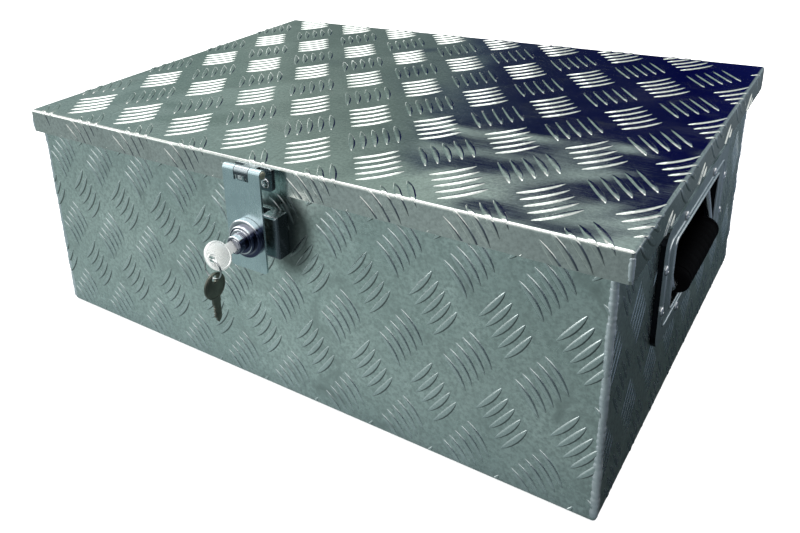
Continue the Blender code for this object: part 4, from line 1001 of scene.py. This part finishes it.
def dress_frame():
    """Finishes and softened edges for the frame's own nodes that stay in sight."""
    finishes = {"hasp_plate": "satin_stainless", "latch_bracket": "bracket_steel",
                "latch_staple": "staple_steel"}
    finishes.update(dict.fromkeys(("latch_pin", "lock_nut", "lock_cam", "cam_screw"), "zinc_steel"))
    for side in ("left", "right"):
        finishes[f"hinge_body_leaf_{side}"] = "hinge_stainless"
        finishes[f"hinge_lid_leaf_{side}"] = "hinge_stainless"
        finishes[f"hinge_pin_{side}"] = "zinc_steel"
        finishes[f"handle_dish_{side}"] = "dish_steel"
    for node, finish in finishes.items():
        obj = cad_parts[node]
        obj.data.materials.clear()
        obj.data.materials.append(FINISH[finish])
        bevel = obj.modifiers.new("soft_edges", "BEVEL")
        bevel.width, bevel.segments = 0.0003, 2
        bevel.limit_method, bevel.angle_limit = "ANGLE", math.radians(50)


# ---- camera, floor and light ----
def card(name, corners, material, glossy_only=True):
    mesh = bpy.data.meshes.new(name)
    mesh.from_pydata(corners, [], [tuple(range(len(corners)))])
    mesh.materials.append(material)
    obj = new_object(name, mesh)
    if glossy_only:
        obj.visible_camera = obj.visible_diffuse = obj.visible_shadow = False
    return obj


def upright(y, left, right, low, high):
    return [(left, y, low), (right, y, low), (right, y, high), (left, y, high)]


def level(z, half):
    return [(-half, -half, z), (half, -half, z), (half, half, z), (-half, half, z)]


def build_back_card():
    """A studio flat behind the box, pale at the left and dark at the right, seen only as a reflection."""
    n = Nodes("back_flat")
    # the noise averages a half, so the colours sit 0.65 and 0.17 off to the side
    place = n.parts(n.vector("MULTIPLY_ADD", n.noise(1.9, 3.0, 0.5, output="Color"), (1.3, 0.0, 0.35), n.place))
    across = n.spread(place["X"], -4.8, 3.2)
    low = n.ramp(across, (
        (0, (0.3, 0.39, 0.39)), (0.206, (0.26, 0.35, 0.35)), (0.29, (0.205, 0.285, 0.275)),
        (0.37, (0.2, 0.275, 0.26)), (0.43, (0.25, 0.325, 0.305)), (0.49, (0.165, 0.22, 0.21)),
        (0.53, (0.13, 0.175, 0.18)), (0.562, (0.045, 0.065, 0.105)), (0.59, (0.01, 0.015, 0.055)),
        (0.66, (0.002, 0.003, 0.055)), (0.7, (0.005, 0.008, 0.085)), (0.76, (0.25, 0.31, 0.34)),
        (1, (0.35, 0.42, 0.44))))
    high = n.ramp(across, (
        (0, (0.28, 0.37, 0.37)), (0.35, (0.29, 0.38, 0.37)), (0.475, (0.32, 0.41, 0.385)),
        (0.56, (0.43, 0.53, 0.5)), (0.64, (0.41, 0.5, 0.49)), (0.72, (0.3, 0.38, 0.39)),
        (1, (0.3, 0.35, 0.35))))
    colour = n.mix(n.spread(place["Z"], 1.42, 1.55), low, high)
    card("back_flat", upright(2.2, -6, 1.7, -0.3, 2.3), n.glow(colour))
    card("low_flat", upright(2.1, -6, -1.1, -0.3, 0.42), Nodes("low_flat").glow((0.85, 0.90, 0.90)))


def build_floor_card():
    """What the upright walls mirror: a grey-green floor that darkens towards the box."""
    n = Nodes("floor_reflection")
    place = n.parts(n.place)
    front = n.ramp(n.spread(place["Y"], -0.60, -0.22), (
        (0, (0.29, 0.35, 0.355)), (0.5, (0.36, 0.43, 0.425)), (0.82, (0.4, 0.47, 0.47)),
        (0.95, (0.355, 0.425, 0.43)), (1, (0.27, 0.32, 0.335))))
    shade = n.ramp(n.spread(place["X"], -0.05, 0.36), (
        (0.0, (1, 1, 1)), (0.75, (0.66, 0.66, 0.67)), (1.0, (0.30, 0.31, 0.33))))
    front = n.mix(1.0, front, shade, "MULTIPLY")
    end = n.ramp(n.spread(place["Y"], -0.22, 0.50), (
        (0.0, (0.020, 0.027, 0.030)), (0.35, (0.026, 0.036, 0.039)), (0.7, (0.055, 0.075, 0.085)),
        (1.0, (0.10, 0.125, 0.14))))
    glint = n.ramp(n.spread(place["X"], 0.40, 0.55), ((0.0, (0, 0, 0)), (1.0, (0.10, 0.115, 0.15))))
    end = n.mix(1.0, end, glint, "ADD")
    behind = n.spread(place["Y"], -0.222, -0.210)
    card("floor_reflection", level(-0.003, 5), n.glow(n.mix(behind, front, end)))


def build_side_cards():
    """Darker flats at the camera's side and at the right, for the shaded flanks of the bars and the lock."""
    n = Nodes("front_flat")
    colour = n.ramp(n.spread(n.parts(n.place)["X"], -3.0, 1.5), (
        (0.0, (0.85, 0.92, 0.92)), (0.45, (0.40, 0.46, 0.47)), (0.75, (0.10, 0.125, 0.14)),
        (1.0, (0.07, 0.09, 0.11))))
    card("front_flat", upright(-3.2, 4, -3.5, -0.3, 1.7), n.glow(colour))
    n = Nodes("right_flat")
    colour = n.ramp(n.spread(n.parts(n.place)["Z"], 0.0, 1.3), (
        (0.0, (0.03, 0.04, 0.05)), (0.6, (0.05, 0.065, 0.10)), (1.0, (0.35, 0.42, 0.46))))
    card("right_flat", [(2.4, 1.2, -0.3), (2.4, -3.2, -0.3), (2.4, -3.2, 1.3), (2.4, 1.2, 1.3)], n.glow(colour))


def area_light(name, place, aim, size, power, colour):
    data = bpy.data.lights.new(name, "AREA")
    data.shape = "RECTANGLE"
    data.size, data.size_y = size
    data.energy = power
    data.color = colour
    obj = new_object(name, data)
    obj.location = place
    obj.rotation_euler = (Vector(aim) - Vector(place)).to_track_quat("-Z", "Y").to_euler()


def build_stage():
    scene = bpy.context.scene
    scene.view_settings.view_transform = "Standard"
    scene.world = bpy.data.worlds.new("studio")
    scene.world.use_nodes = True
    background = scene.world.node_tree.nodes["Background"]
    background.inputs["Color"].default_value = (1.0, 1.0, 1.0, 1.0)
    background.inputs["Strength"].default_value = 1.0
    paper = Nodes("floor_paper").finish((0.93, 0.93, 0.93), 0.9, emission_color=(1.0, 1.0, 1.0, 1.0),
                                        emission_strength=0.62)
    card("floor", level(-0.0004, 30), paper, False).visible_glossy = False
    build_back_card()
    build_floor_card()
    build_side_cards()
    area_light("sky_panel", (-0.5, 0.5, 2.7), (0, 0, 0.1), (3.0, 2.6), 52, (1.0, 1.0, 1.0))
    area_light("left_panel", (-2.6, -1.0, 1.2), (0, 0, 0.1), (2.0, 1.4), 14, (0.98, 1.0, 1.0))


def build_camera():
    data = bpy.data.cameras.new("camera")
    data.sensor_width = 36.0
    data.lens = 36.076
    data.shift_x = 0.1177
    data.shift_y = -0.1443
    data.clip_start = 0.01
    data.clip_end = 200
    camera = new_object("camera", data)
    camera.location = (0.40565, -0.67671, 0.46808)
    camera.rotation_euler = (math.radians(68.5756), math.radians(3.3984), math.radians(36.5240))
    bpy.context.scene.camera = camera


build_camera()
build_stage()
build_sheets()
build_treads()
build_welds()
build_seal()
build_mat()
build_rivets()
build_handle("right")
build_handle("left")
build_lock()
build_keys()
build_pin_heads()
dress_frame()
